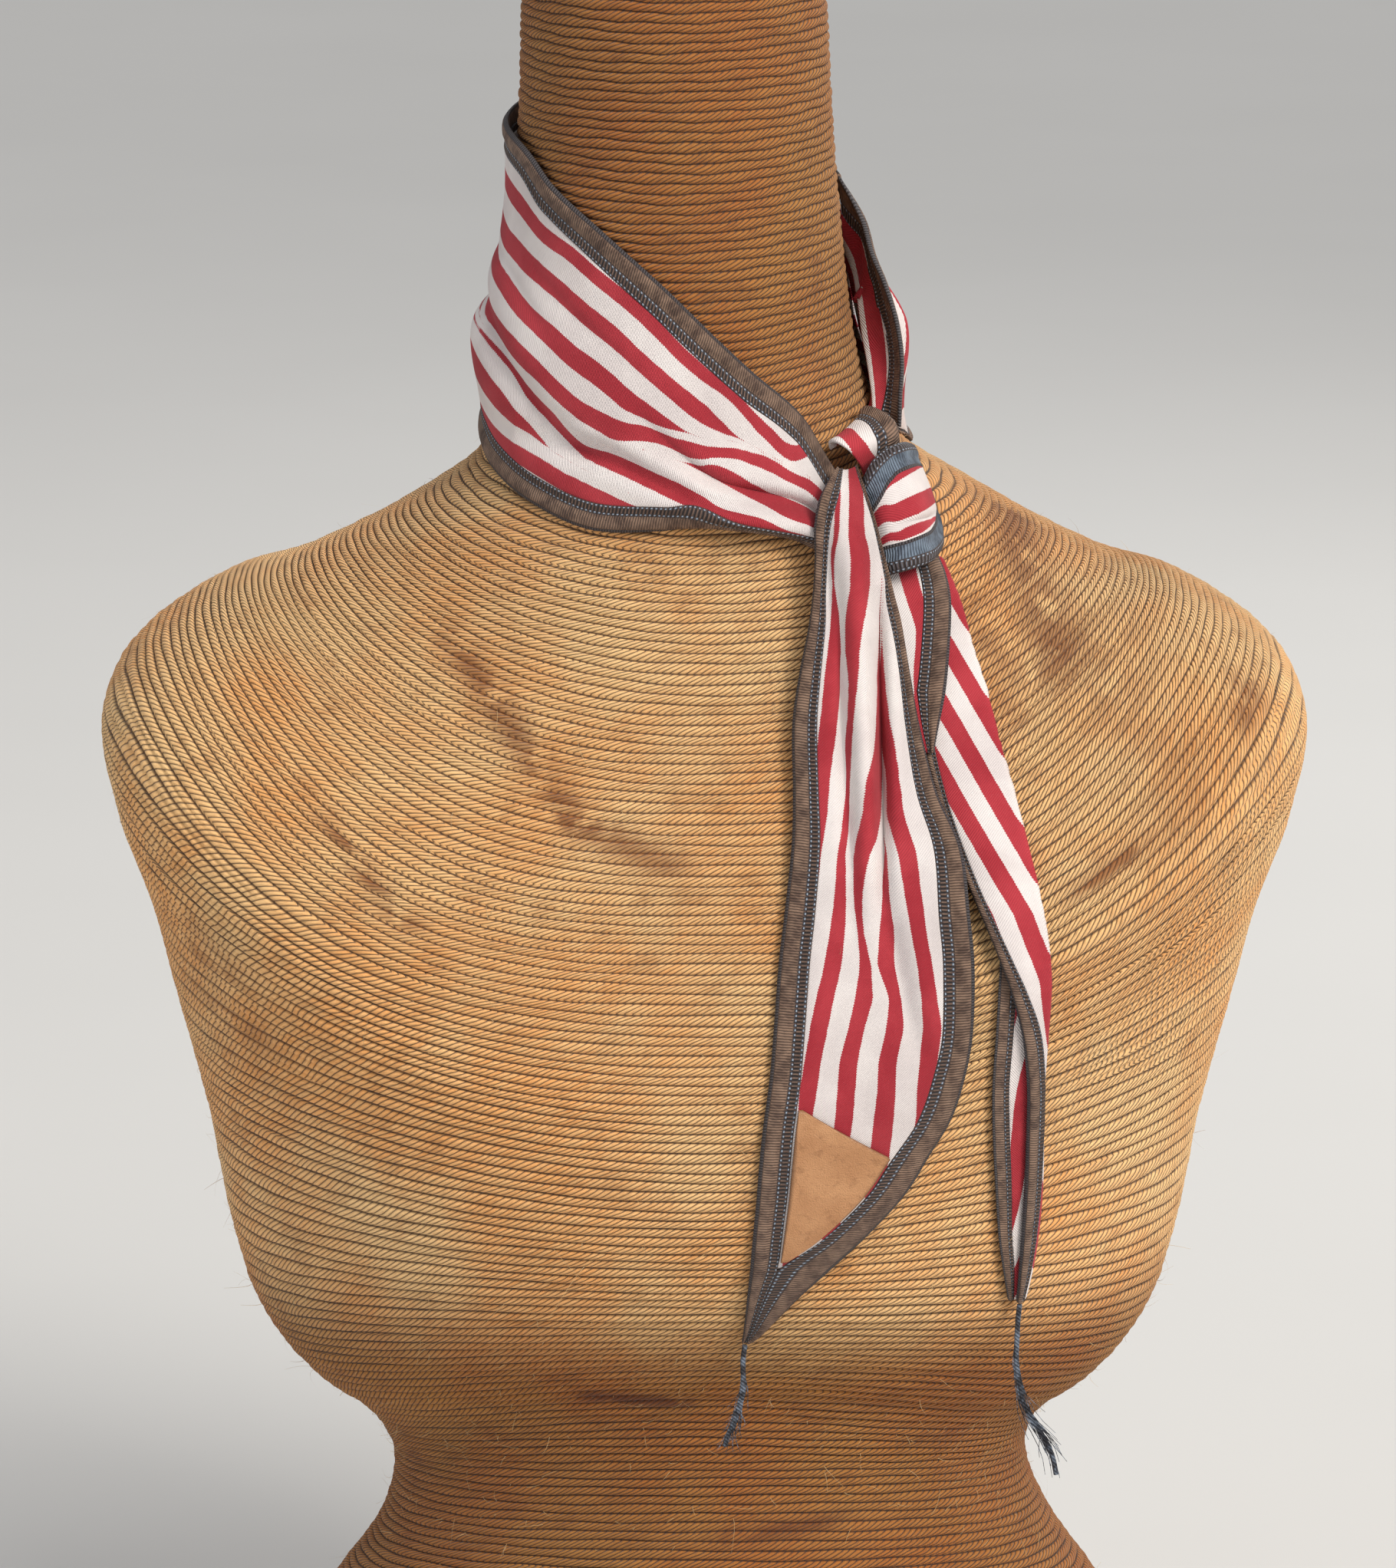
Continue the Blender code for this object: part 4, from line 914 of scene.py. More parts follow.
def cotton_finish():
    """Striped twill: red and off-white, its edges serrated by the weave, with painted shade in
    the twill's furrows.
    """
    made, tree, shader = new_finish(
        "striped_cotton", 0.8, Sheen_Weight=0.06, Sheen_Roughness=0.4
    )
    stripe, _ = uv_parts(tree, "stripes")
    across, along = uv_parts(tree, "weave")
    warp = sum_of(tree, "MULTIPLY", across, 1 / THREAD_PITCH)
    weft = sum_of(tree, "MULTIPLY", along, 1 / THREAD_PITCH)
    wander = noise(tree, vector_of(tree, across, along), 260.0, 2.0)
    step = sum_of(tree, "MULTIPLY", along, 1 / STEP_PITCH)
    step = sum_of(tree, "PINGPONG", step, 0.5)
    edge = sum_of(tree, "MULTIPLY_ADD", step, 0.55, stripe)
    edge = sum_of(tree, "MULTIPLY_ADD", wander, 0.5, edge)
    red_share = steps_between(tree, edge, 0.32, 0.46)
    place = node(tree, "TexCoord").outputs["Object"]
    worn = steps_between(tree, noise(tree, place, 45.0, 4.0), 0.35, 0.7)
    red = mixed(tree, worn, RED_DEEP, RED_WORN)
    white = mixed(tree, worn, WHITE_DULL, WHITE_CLEAN)
    twill = sum_of(tree, "MULTIPLY", sum_of(tree, "ADD", warp, weft), np.pi)
    twill = sum_of(tree, "MULTIPLY_ADD", sum_of(tree, "SINE", twill), 0.5, 0.5)
    fine = noise(tree, vector_of(tree, warp, weft), 1.6, 2.0, 0.7)
    fleck = steps_between(tree, fine, 0.60, 0.80, 0, 0.42)
    red = mixed(tree, fleck, red, RED_FLECK)
    # Painted shade: the twill's furrows are darkened, in the red and in the white.
    furrow = steps_between(tree, twill, 0.35, 0.0, 0, 0.25)
    red = mixed(tree, furrow, red, RED_TWILL_SHADE)
    furrow = steps_between(tree, twill, 0.35, 0.0, 0, 0.16)
    white = mixed(tree, furrow, white, WHITE_TWILL_SHADE)
    colour = mixed(tree, red_share, white, red)
    height = sum_of(tree, "MULTIPLY_ADD", fine, 0.5, twill)
    join_colour(tree, shader, colour, height, 0.00018)
    return made


def border_finish(name, dull, bright, turned=False):
    """The stitched border, across from its seam (0) to its outer edge (1).

    A ladder of dark stitches between two dotted chains, then a satin band
    from its dull to its bright thread colour, with painted shade between its
    stitches, crossed by slanting stitches, and a dark overcast edge. A turned
    border shows its other face, on which the satin band lies at the seam.
    """
    made, tree, shader = new_finish(name, 0.72, Sheen_Weight=0.04)
    across, along = uv_parts(tree, "stitching")
    if turned:
        across = sum_of(tree, "SUBTRACT", 1.0, across)
    place = node(tree, "TexCoord").outputs["Object"]
    uneven = noise(tree, place, 220.0, 3.0)
    run = sum_of(tree, "MULTIPLY_ADD", uneven, 0.0006, along)

    def beats(pitch, slant=0.0):
        """Half a sine wave for each stitch along the border."""
        lay = sum_of(tree, "MULTIPLY", run, 1 / pitch)
        lay = sum_of(tree, "MULTIPLY_ADD", across, slant, lay)
        part = sum_of(tree, "FRACT", lay)
        return sum_of(tree, "SINE", sum_of(tree, "MULTIPLY", part, np.pi))

    def strip(start, end, soft=0.02):
        """1 between two places across the border, 0 outside them."""
        return sum_of(
            tree, "MULTIPLY",
            steps_between(tree, across, start - soft, start + soft),
            steps_between(tree, across, end + soft, end - soft),
        )

    ladder = beats(LADDER_PITCH)
    chain = beats(CHAIN_PITCH)
    satin = beats(SATIN_PITCH, 0.9)
    cross = beats(CROSS_PITCH, 2.2)
    overcast = beats(OVERCAST_PITCH, 0.6)
    plain = mixed(tree, steps_between(tree, uneven, 0.3, 0.7), dull, bright)
    share = steps_between(tree, ladder, 0.35, 0.9)
    colour = mixed(tree, share, STITCH_BLACK, LADDER_BROWN)
    rungs = steps_between(tree, ladder, 0.85, 0.98, 0, 0.6)
    colour = mixed(tree, sum_of(tree, "MULTIPLY", strip(0.10, 0.28), rungs), colour, plain)
    chains = sum_of(tree, "ADD", strip(0.03, 0.08), strip(0.30, 0.35))
    dots = sum_of(tree, "MULTIPLY", chains, steps_between(tree, chain, 0.40, 0.75))
    share = steps_between(tree, chain, 0.75, 0.97)
    colour = mixed(tree, dots, colour, mixed(tree, share, CHAIN_BLUE, CHAIN_PALE))
    satin_strip = strip(0.39, 0.88)
    # Painted shade: the satin thread darkens towards black between its stitches.
    shade = steps_between(tree, satin, 0.55, 0.05, 0, 0.6)
    thread = mixed(tree, shade, plain, STITCH_BLACK)
    slanting = steps_between(tree, cross, 0.93, 0.995, 0, 0.35)
    colour = mixed(tree, satin_strip, colour, mixed(tree, slanting, thread, bright))
    share = steps_between(tree, overcast, 0.3, 0.8)
    edge = mixed(tree, share, STITCH_BLACK, OVERCAST_GREY)
    outer_strip = strip(0.90, 1.2)
    colour = mixed(tree, outer_strip, colour, edge)
    height = sum_of(tree, "MULTIPLY", satin, satin_strip)
    height = sum_of(tree, "MULTIPLY_ADD", chain, sum_of(tree, "MULTIPLY", dots, 1.4), height)
    height = sum_of(tree, "MULTIPLY_ADD", ladder, strip(0.10, 0.29), height)
    height = sum_of(tree, "MULTIPLY_ADD", overcast, outer_strip, height)
    join_colour(tree, shader, colour, height, 0.00045)
    return made


cotton = cotton_finish()
stitching = border_finish("stitched_border", SATIN_DULL, SATIN_BRIGHT)


def run_along(points):
    """Metres along the middle of a stretch, at each of its rows."""
    line = points[:, points.shape[1] // 2]
    return np.concatenate([[0], np.cumsum(np.linalg.norm(np.diff(line, axis=0), axis=1))])


def sew_border(name, strip, seam_first, finish=stitching):
    """A border strip: flat at its seam, a raised satin band, a rolled edge."""
    rows, across, _ = strip.shape
    part = np.linspace(0, 1, across)
    part = part if seam_first else part[::-1]
    profile = 0.62 + 0.42 * np.exp(-(((part - 0.7) / 0.22) ** 4))
    profile = profile * np.clip(0.35 + 6 * (1 - part), 0.35, 1) ** 0.6
    profile = profile + 0.10 * np.exp(-(((part - 0.07) / 0.05) ** 2))
    rises = np.broadcast_to(BORDER_WALL * profile, (rows, across))
    along = run_along(strip)
    pairs = np.stack(np.broadcast_arrays(part[None, :], along[:, None]), -1)
    maps = {"stitching": pairs}
    node_name = name + "_border"
    return slab(name + "_edge", strip, rises, maps, finish, "stitched_border", node_name)


def lay_cloth(name, inner, red_depth, across=None):
    """A stretch's cloth on its inner grid, from each point's depth in a red.

    The weave is laid in metres across and along, as the cloth was cut.
    """
    along = np.broadcast_to(run_along(inner)[:, None], red_depth.shape)
    across = arc_lengths(inner) if across is None else across
    maps = {
        "stripes": np.stack([red_depth, along], -1),
        "weave": np.stack([across, along], -1),
    }
    rises = soft_rims(*red_depth.shape, CLOTH_WALL)
    return slab(name + "_cloth", inner, rises, maps, cotton, "striped_cotton", name)


def sew_stretch(
    name, points, stripes, rows, borders, across=CLOTH_POINTS, finish=stitching, hem=None
):
    """A stretch of cloth with its borders, cut from a fine grid of its surface.

    The cloth goes a little way under the inner edge of each border. The second
    border is as wide as hem says where that is given.
    """
    lengths, first, last = edge_widths(points, BORDER_WIDTH)
    last = last if hem is None else hem
    tuck = 0.6 * MM
    start = first - tuck if borders[0] else np.zeros_like(first)
    end = lengths - last + tuck if borders[1] else lengths
    inner = slice_rows(points, start, end, across)
    inner = inner + outward_of(inner) * cloth_waves(inner)[..., None]
    wanted = start[:, None] + (end - start)[:, None] * np.linspace(0, 1, across)
    places = np.linspace(0, 1, points.shape[1])
    pairs = zip(wanted, arc_lengths(points))
    crossing = np.array([np.interp(want, arc, places) for want, arc in pairs])
    cloth = lay_cloth(
        name, inner, depth_in_red(stripes, rows, crossing, lengths / MM), wanted
    )
    if borders[0]:
        strip = slice_rows(points, 0 * first, first, BORDER_POINTS)
        sew_border(f"{name}_{borders[0]}", strip, False, finish)
    if borders[1]:
        strip = slice_rows(points, lengths - last, lengths, BORDER_POINTS)
        sew_border(f"{name}_{borders[1]}", strip, True, finish)


band_rows = np.linspace(0, len(BAND) - 1, 260)
band = band_surface(band_rows, FINE_PLACES)
sew_stretch("neck_band", band, BAND_STRIPES, band_rows, ("top", "hem"))

# Behind the neck's right side the scarf turns on edge and comes forward as a
# strand that widens, stands clear of the neck and goes down behind the knot.

# The strand, from behind the neck down to the knot. Columns, in mm: x, y and z of
# its top edge, of its border's seam, of its inner turn beside the neck, of its
# outer turn and of its hem.
STRAND = {
    "behind_neck": (41.4, 17.3, 556, 42.4, 18.2, 546, 44.9, 20.6, 526,
                    51.3, 25.5, 496, 65.4, 34.7, 466),
    "beside_neck": (48.9, 8, 542.7, 49.3, 15.4, 537.7, 47.1, 13.2, 521,
                    54.6, 17.4, 503, 67.6, 26, 467),
    "standing_off": (52.2, 0, 532.6, 52.4, 7.4, 527.3, 48.0, 9.5, 516,
                     55.0, 17, 513, 68.3, 21, 467.5),
    "turning": (56.2, -6, 524.2, 55.0, 2, 519.7, 48.2, 6, 516,
                57.4, 11.5, 519.5, 67.6, 17.5, 469.5),
    "widening": (60.0, -12, 513, 57.2, -4, 510.3, 49.6, 2, 507,
                 64.6, 9, 507.2, 66.2, 14.5, 472),
    "widest": (61.6, -19, 502.1, 58.2, -11, 500.6, 51.2, -6.5, 499.2,
               65.4, 6, 496.4, 64.4, 11.5, 475),
    "narrowing": (61.0, -26, 491.3, 57.8, -19, 491.1, 52.6, -15.5, 490.4,
                  64.0, -2, 485.6, 63.2, 8.5, 477.5),
    "into_knot": (60.9, -30, 481.8, 57.6, -25, 483.5, 52.8, -22.5, 485,
                  63.4, -9, 478.5, 62.6, 5.5, 479.5),
}
# Where the stripes' edges cross the strand, in the columns of the band's: row,
# then the places across of where each of its four reds starts and ends.
STRAND_STRIPES = (
    (0.0, 0.28, 0.40, 0.46, 0.60, 0.66, 0.76, 0.84, 0.93),
    (4.0, 0.28, 0.40, 0.46, 0.60, 0.72, 0.78, 0.85, 0.93),
    (5.6, 0.28, 0.40, 0.46, 0.60, 0.77, 0.88, 0.93, 0.97),
    (7.0, 0.28, 0.40, 0.46, 0.60, 0.77, 0.88, 0.93, 0.97),
)


def strand_surface(place, across):
    """The strand at the neck's right, through its five lines."""
    rows = smooth_rows(columns(STRAND), place)
    axes = [spread(list(rows[:, i::3].T), across) for i in range(3)]
    return np.stack(axes, -1)


strand_rows = np.linspace(0.17, len(STRAND) - 1.2, 110)
strand = strand_surface(strand_rows, FINE_PLACES)


def drawn_in(along, start, end):
    """How far the strand's outer layer is drawn in to the neck.

    A distance for each row, eased in smoothly from a start to an end across.
    """
    share = np.clip((FINE_PLACES - start) / (end - start), 0, 1)
    return along[:, None] * MM * share**2 * (3 - 2 * share)


# None of the hem's border shows on the strand, so its outer layer is drawn in off
# the solid's form and its border narrowed. How the real one lies there is a guess.
at_knot = np.interp(strand_rows, (3.8, 4.7, 5.7, 6.8), (0, 2.2, 5.6, 11.5))
at_hem = np.interp(strand_rows, (0.2, 1.4, 4.2, 5.6), (0, 3.0, 3.8, 1.0))
strand[..., 0] -= drawn_in(at_knot, 0.48, 0.70) + drawn_in(at_hem, 0.70, 0.95)
strand_hem = np.interp(strand_rows, (0.3, 1.3), (BORDER_WIDTH, 2.0 * MM))
sew_stretch(
    "right_strand", strand, STRAND_STRIPES, strand_rows, ("top", "hem"),
    hem=strand_hem,
)

# The knot is one end taken over the band and out through a wrap. The loop goes
# over the knot's top, and the wrap goes round it from behind to the front tail.
KNOT_PLACES = np.linspace(0, 1, 97)
# The wrap's borders show their other face, of blue-grey thread.
TURNED_DULL = (0.060, 0.078, 0.110, 1)
TURNED_BRIGHT = (0.185, 0.235, 0.300, 1)
# The loop over the knot's top, from behind it down to the wrap. Columns, in
# mm: x, y and z of its left and of its right edge, crown.
LOOP_OVER = {
    "behind": (39.4, -45.0, 479.0, 52.6, -25.5, 485.5, 0.5),
    "crest": (39.0, -46.5, 481.3, 51.5, -25.5, 488.3, 1.5),
    "top": (40.9, -49.5, 482.1, 55.6, -31.5, 487.9, 2.5),
    "front": (44.9, -50.5, 479.7, 58.8, -37, 486.2, 2.5),
    "falling": (47.6, -48.5, 475.9, 60.2, -37, 481.0, 1.5),
    "under_wrap": (49.6, -45, 470.5, 60.4, -34, 476.8, 0.5),
}
# Where the stripes' edges cross the loop, in the columns of the band's.
LOOP_STRIPES = (
    (0.0, 0.12, 0.38),
    (1.5, 0.10, 0.36),
    (2.65, 0.04, 0.26),
    (3.45, -0.02, 0.26),
    (4.2, -0.06, 0.32),
    (5.0, -0.10, 0.36),
)
# The wrap round the knot, from behind it to under the front tail. Columns, in
# mm: x, y and z of its top and of its bottom edge, crown.
WRAP = {
    "behind": (63.6, -18, 471.5, 72.6, -47.0, 449.5, 3),
    "turn": (63.8, -27, 476.6, 72.8, -51, 448.0, 2.5),
    "rounding": (62.4, -38, 479.7, 70.8, -59.5, 447.3, 2.5),
    "right": (59.2, -46, 480.8, 68.2, -65, 447.0, 2.5),
    "crown": (55.2, -49, 479.2, 64.4, -68, 446.2, 2),
    "middle": (51.8, -51.5, 476.2, 60.2, -68, 445.0, 1.5),
    "left": (49.0, -51.0, 469.4, 56.2, -66, 443.3, 1),
    "under_tail": (47.6, -48.5, 463.1, 54.0, -64.5, 441.2, 0.5),
}
# One crease along the wrap, in the columns of the band's folds.
WRAP_CREASE = (0.8, 5.2, 0.66, 0.63, 0.60, -1.8, 0.05, 0.05)
# Where the stripes' edges cross the wrap, in the columns of the band's.
WRAP_STRIPES = (
    (0.0, 0.18, 0.22, 0.40, 0.55, 0.67, 0.71),
    (2.0, 0.18, 0.23, 0.40, 0.55, 0.67, 0.71),
    (3.5, 0.21, 0.27, 0.42, 0.57, 0.66, 0.74),
    (4.6, 0.21, 0.28, 0.42, 0.57, 0.66, 0.74),
    (5.2, 0.26, 0.335, 0.36, 0.52, 0.62, 0.70),
    (7.0, 0.27, 0.345, 0.355, 0.50, 0.61, 0.69),
)


def knot_surface(table, place, across, fold=None):
    """A crowned stretch of the knot, between its two edges."""
    rows = smooth_rows(columns(table), place)
    first, last = rows[:, None, :3], rows[:, None, 3:6]
    points = first + (last - first) * across[None, :, None]
    rise = rows[:, 6:] * np.sin(np.pi * across) ** 0.8
    if fold:
        rise = rise + fold_rise(fold, place[:, None], across[None, :])
    outward = points - [NECK_AXIS_X, 0, 0]
    outward[..., 2] = 0
    outward /= np.linalg.norm(outward, axis=-1, keepdims=True)
    return points + outward * rise[..., None]


loop_rows = np.linspace(0, len(LOOP_OVER) - 1, 70)
loop = knot_surface(LOOP_OVER, loop_rows, KNOT_PLACES)
loop_border = np.interp(loop_rows, (1.5, 2.7), (10.5, 11.8)) * MM
sew_stretch(
    "knot_loop", loop, LOOP_STRIPES, loop_rows, (None, "right"), 60,
    hem=loop_border,
)
wrap_rows = np.linspace(0, len(WRAP) - 1, 110)
wrap = knot_surface(WRAP, wrap_rows, KNOT_PLACES, WRAP_CREASE)
sew_stretch(
    "knot_wrap", wrap, WRAP_STRIPES, wrap_rows, ("top", "bottom"), 80,
    border_finish("turned_border", TURNED_DULL, TURNED_BRIGHT, turned=True),
)

# The front tail comes out under the wrap, gathered, spreads as it goes down the
# chest and ends in a point, where its two borders meet under a leather label.
FRONT_BORDER_POINTS = 15
# Columns, in mm: height, left edge, right edge, widths of the left and the right
# border, distance off the form at the left edge, the middle and the right edge.
FRONT_TAIL = {
    "knot_top": (474.0, 40.5, 46.6, 2.4, 0.8, 13, 15, 13),
    "knot_upper": (471.0, 37.6, 47.8, 4.6, 1.0, 15, 18, 16.5),
    "knot": (466.5, 35.2, 49.4, 6.1, 1.1, 15, 20, 17),
    "below_knot": (459.0, 33.8, 52.2, 5.8, 1.3, 14, 20.5, 17),
    "gathered": (450.0, 34.0, 55.0, 4.4, 1.8, 12, 20, 16),
    "spreading": (440.5, 33.5, 57.8, 4.0, 2.8, 10, 17, 14),
    "upper": (429.5, 32.1, 60.7, 5.2, 3.6, 8, 14, 11.8),
    "chest_top": (415.0, 29.2, 63.4, 7.0, 4.0, 6, 11.5, 10.4),
    "chest": (400.0, 27.1, 66.3, 8.0, 4.6, 5, 10, 9.8),
    "crossing": (381.0, 27.3, 71.6, 8.2, 6.4, 4, 8.5, 9.4),
    "fuller": (365.0, 26.9, 79.1, 9.0, 8.6, 3, 7, 8.4),
    "wide": (345.0, 24.7, 81.7, 9.6, 9.6, 2, 5, 6.6),
    "widest": (329.7, 22.8, 83.1, 9.8, 9.8, 1.6, 3.2, 3.8),
    "curving": (309.2, 21.2, 82.7, 9.8, 9.9, 1.2, 2.0, 1.8),
    "curve": (295.5, 20.0, 80.5, 9.7, 10.4, 1.2, 1.6, 1.4),
    "label_top": (281.5, 18.1, 76.3, 9.6, 11.2, 1.2, 1.5, 1.4),
    "label": (269.5, 16.9, 69.5, 9.6, 12.2, 1.2, 1.5, 1.4),
    "label_low": (257.0, 16.0, 62.0, 9.4, 13.0, 1.2, 1.5, 1.4),
    "pointing": (244.0, 14.9, 50.4, 9.0, 14.5, 1.2, 1.5, 1.4),
    "meeting": (234.0, 14.2, 40.4, 8.3, 17.3, 1.2, 1.4, 1.4),
    "tip_upper": (223.0, 13.3, 29.6, 5.2, 11.1, 1.2, 1.3, 1.4),
    "tip": (209.5, 12.2, 18.6, 2.0, 4.4, 1.2, 1.2, 1.3),
    "point": (206.0, 11.7, 14.2, 0.8, 1.7, 1.2, 1.2, 1.2),
}
# The row where the two borders meet below the label.
MEETING_ROW = 19.0
# Folds down the front tail. Columns: height where it starts and ends, its
# place (mm right) at its start, middle and end, rise, reach left and right.
FRONT_TAIL_FOLDS = {
    "slit": (442, 345, 53.0, 54.8, 55.5, -8.0, 3.0, 2.4),
    "ridge": (468, 352, 47.0, 48.5, 50.0, 2.6, 5.0, 4.0),
    "furrow": (466, 330, 38.5, 43.0, 47.0, -3.4, 3.2, 3.0),
    "low_furrow": (366, 300, 52.0, 58.5, 66.0, -1.8, 4.0, 4.0),
    "low_ridge": (360, 296, 60.0, 67.0, 74.0, 1.2, 4.5, 4.5),
}
# Smaller creases, in the same columns.
FRONT_TAIL_CREASES = {
    "left_gather": (462, 396, 41.0, 40.5, 39.0, 0.9, 1.6, 1.6),
    "right_gather": (456, 400, 51.5, 51.0, 51.0, -0.7, 1.6, 1.6),
    "middle_pull": (404, 350, 46.5, 46.0, 45.5, -0.8, 2.2, 2.2),
    "slit_lip": (436, 372, 57.5, 57.8, 58.5, 1.1, 2.0, 2.4),
    "left_wave": (346, 296, 36.0, 35.0, 32.0, 0.7, 4.0, 4.0),
    "label_wave": (300, 262, 48.0, 50.0, 54.0, -0.5, 4.0, 4.0),
}
# Where the stripes' edges lie on the tail. Columns: height, then x (mm right)
# of where each of its five reds starts and ends.
TAIL_STRIPES = (
    (470, 40.2, 41.9, 43.9, 48.6, 53.6, 53.7, 53.8, 53.9, 54.0, 54.1),
    (457, 40.4, 41.9, 43.9, 48.8, 53.6, 53.7, 53.8, 53.9, 54.0, 54.1),
    (451, 39.5, 40.9, 44.9, 50.4, 53.9, 54.0, 54.1, 54.2, 54.3, 54.4),
    (442, 40.1, 40.9, 45.0, 50.2, 53.9, 54.2, 54.4, 54.5, 54.7, 54.8),
    (434, 39.4, 42.3, 44.1, 48.8, 54.0, 54.7, 55.0, 55.1, 55.3, 55.5),
    (423, 37.9, 43.1, 44.1, 47.7, 52.8, 55.2, 55.3, 55.4, 55.5, 56.0),
    (414, 36.9, 42.1, 45.1, 47.5, 52.2, 54.2, 54.4, 54.5, 54.7, 56.8),
    (404, 36.1, 40.8, 44.9, 46.8, 52.0, 54.6, 54.7, 54.8, 55.0, 57.7),
    (394, 34.8, 39.8, 43.9, 46.3, 51.2, 55.0, 55.1, 55.2, 55.4, 59.1),
    (385, 34.2, 38.8, 44.1, 45.9, 49.5, 54.1, 55.4, 55.5, 57.0, 60.1),
    (374, 33.8, 38.1, 42.1, 45.3, 48.8, 53.7, 55.6, 55.7, 57.0, 61.6),
    (368, 33.0, 37.2, 41.5, 44.2, 47.7, 52.6, 55.8, 56.0, 58.6, 63.9),
    (363, 32.0, 36.3, 40.7, 43.1, 46.7, 50.6, 56.4, 57.3, 59.9, 65.6),
    (355, 30.5, 35.3, 40.2, 43.2, 46.2, 49.5, 54.4, 57.7, 61.0, 66.4),
    (348, 29.0, 34.0, 39.7, 43.4, 46.1, 49.0, 54.3, 58.0, 62.2, 67.3),
    (340, 28.0, 32.3, 38.5, 43.2, 47.3, 49.4, 53.5, 59.0, 63.7, 68.3),
    (330, 26.0, 30.0, 36.7, 42.4, 47.8, 51.4, 52.9, 58.4, 65.6, 70.1),
    (320, 24.0, 28.0, 34.3, 39.8, 46.2, 52.0, 56.6, 60.5, 66.9, 71.5),
    (311, 22.0, 26.0, 32.4, 37.9, 44.1, 49.3, 55.8, 61.3, 67.5, 73.0),
    (301, 20.0, 24.0, 30.7, 35.9, 41.4, 47.2, 53.4, 59.2, 66.1, 71.9),
    (292, 19.5, 23.0, 29.0, 34.7, 40.7, 46.4, 53.1, 58.9, 65.2, 69.9),
    (282, 18.5, 22.0, 28.6, 33.0, 39.9, 45.5, 51.9, 58.2, 64.9, 70.0),
    (272, 18.0, 21.0, 27.8, 32.0, 38.8, 44.2, 50.7, 57.2, 62.9, 68.0),
    (260, 17.0, 20.0, 26.5, 31.0, 37.5, 43.0, 49.5, 55.5, 61.0, 66.0),
    (236, 13.0, 17.0, 24.0, 29.0, 35.5, 41.0, 48.0, 54.0, 60.0, 65.0),
)


def front_depth(x, z):
    """y of the form's front at (x, z)."""
    x, z = np.broadcast_arrays(np.asarray(x, float), np.asarray(z, float))

    def sine_at(place):
        rows = np.moveaxis(smooth_rows(LOOP_ROWS, place), -1, 0)
        side = np.clip(np.abs(x - rows[6]) / rows[0], 0, 1) ** (1 / rows[7])
        return side, rows

    def height_of(place):
        side, rows = sine_at(place)
        return rows[3] + (rows[1] - rows[3]) * side**2

    side, rows = sine_at(loop_at_height(height_of, z, x.shape))
    return rows[2] * np.sqrt(np.maximum(1 - side**2, 0)) ** rows[7]


def down_front(x, z, off):
    """A point off the form's front."""
    return np.stack([x, front_depth(x, z) - off, z], -1)


def front_surface(table, place, across, folds=()):
    """A tail down the front, from its left to its right edge."""
    rows = smooth_rows(columns(table), place).T
    z, left, right = rows[:3]
    left_off, middle_off, right_off = rows[-3:]
    x = left[:, None] + (right - left)[:, None] * across
    z = np.broadcast_to(z[:, None], x.shape)
    off = spread([left_off, middle_off, right_off], across)
    for fold in folds:
        off = off + fold_rise(fold, z / MM, x / MM)
    return down_front(x, z, np.maximum(off, 0.7 * MM))


def hang_front_tail():
    """The tail's cloth and its two borders, which meet in a point below."""
    above = np.linspace(0, MEETING_ROW, 230)
    folds = [*FRONT_TAIL_FOLDS.values(), *FRONT_TAIL_CREASES.values()]
    points = front_surface(FRONT_TAIL, above, FINE_PLACES, folds)
    lengths = arc_lengths(points)[:, -1]
    left, right = smooth_rows(columns(FRONT_TAIL), above).T[3:5]
    tuck = 0.5 * MM
    inner = slice_rows(points, left - tuck, lengths - right + tuck, CLOTH_POINTS)
    inner = inner + outward_of(inner) * cloth_waves(inner, 0.15 * MM)[..., None]
    depth = depth_in_red(TAIL_STRIPES[::-1], inner[:, 0, 2] / MM, inner[..., 0] / MM)
    cloth = lay_cloth("front_tail", inner, depth)

    below = np.linspace(MEETING_ROW, len(FRONT_TAIL) - 1, 60)[1:]
    tip = front_surface(FRONT_TAIL, below, FINE_PLACES)
    tip_lengths = arc_lengths(tip)[:, -1]
    share = left[-1] / (left[-1] + right[-1])
    whole = np.concatenate([points, tip])
    all_lengths = np.concatenate([lengths, tip_lengths])
    left_end = np.concatenate([left, tip_lengths * share])
    right_start = np.concatenate([lengths - right, tip_lengths * share])
    strip = slice_rows(whole, 0 * left_end, left_end, FRONT_BORDER_POINTS)
    edges = [sew_border("front_tail_left", strip, False)]
    strip = slice_rows(whole, right_start, all_lengths, FRONT_BORDER_POINTS)
    edges.append(sew_border("front_tail_right", strip, True))


hang_front_tail()

# The label is a triangle of tan leather, laid on the tail's cloth by its point
# and left bare. Its edges are cut clean, dark and a little worn.
SEAM_GAP = 0.4 * MM
LABEL_WALL = 1.0 * MM
LABEL_POINTS = 40
LEATHER_TAN = (0.43, 0.200, 0.082, 1)
LEATHER_PALE = (0.53, 0.265, 0.118, 1)
LEATHER_CREASE = (0.20, 0.075, 0.022, 1)
LEATHER_EDGE = (0.13, 0.05, 0.017, 1)
# The ends of its top edge and its point, in mm: x and height.
LABEL_TOP_LEFT = (26.8, 286.7)
LABEL_TOP_RIGHT = (58.2, 269.0)
LABEL_POINT_HEIGHT = 236.5


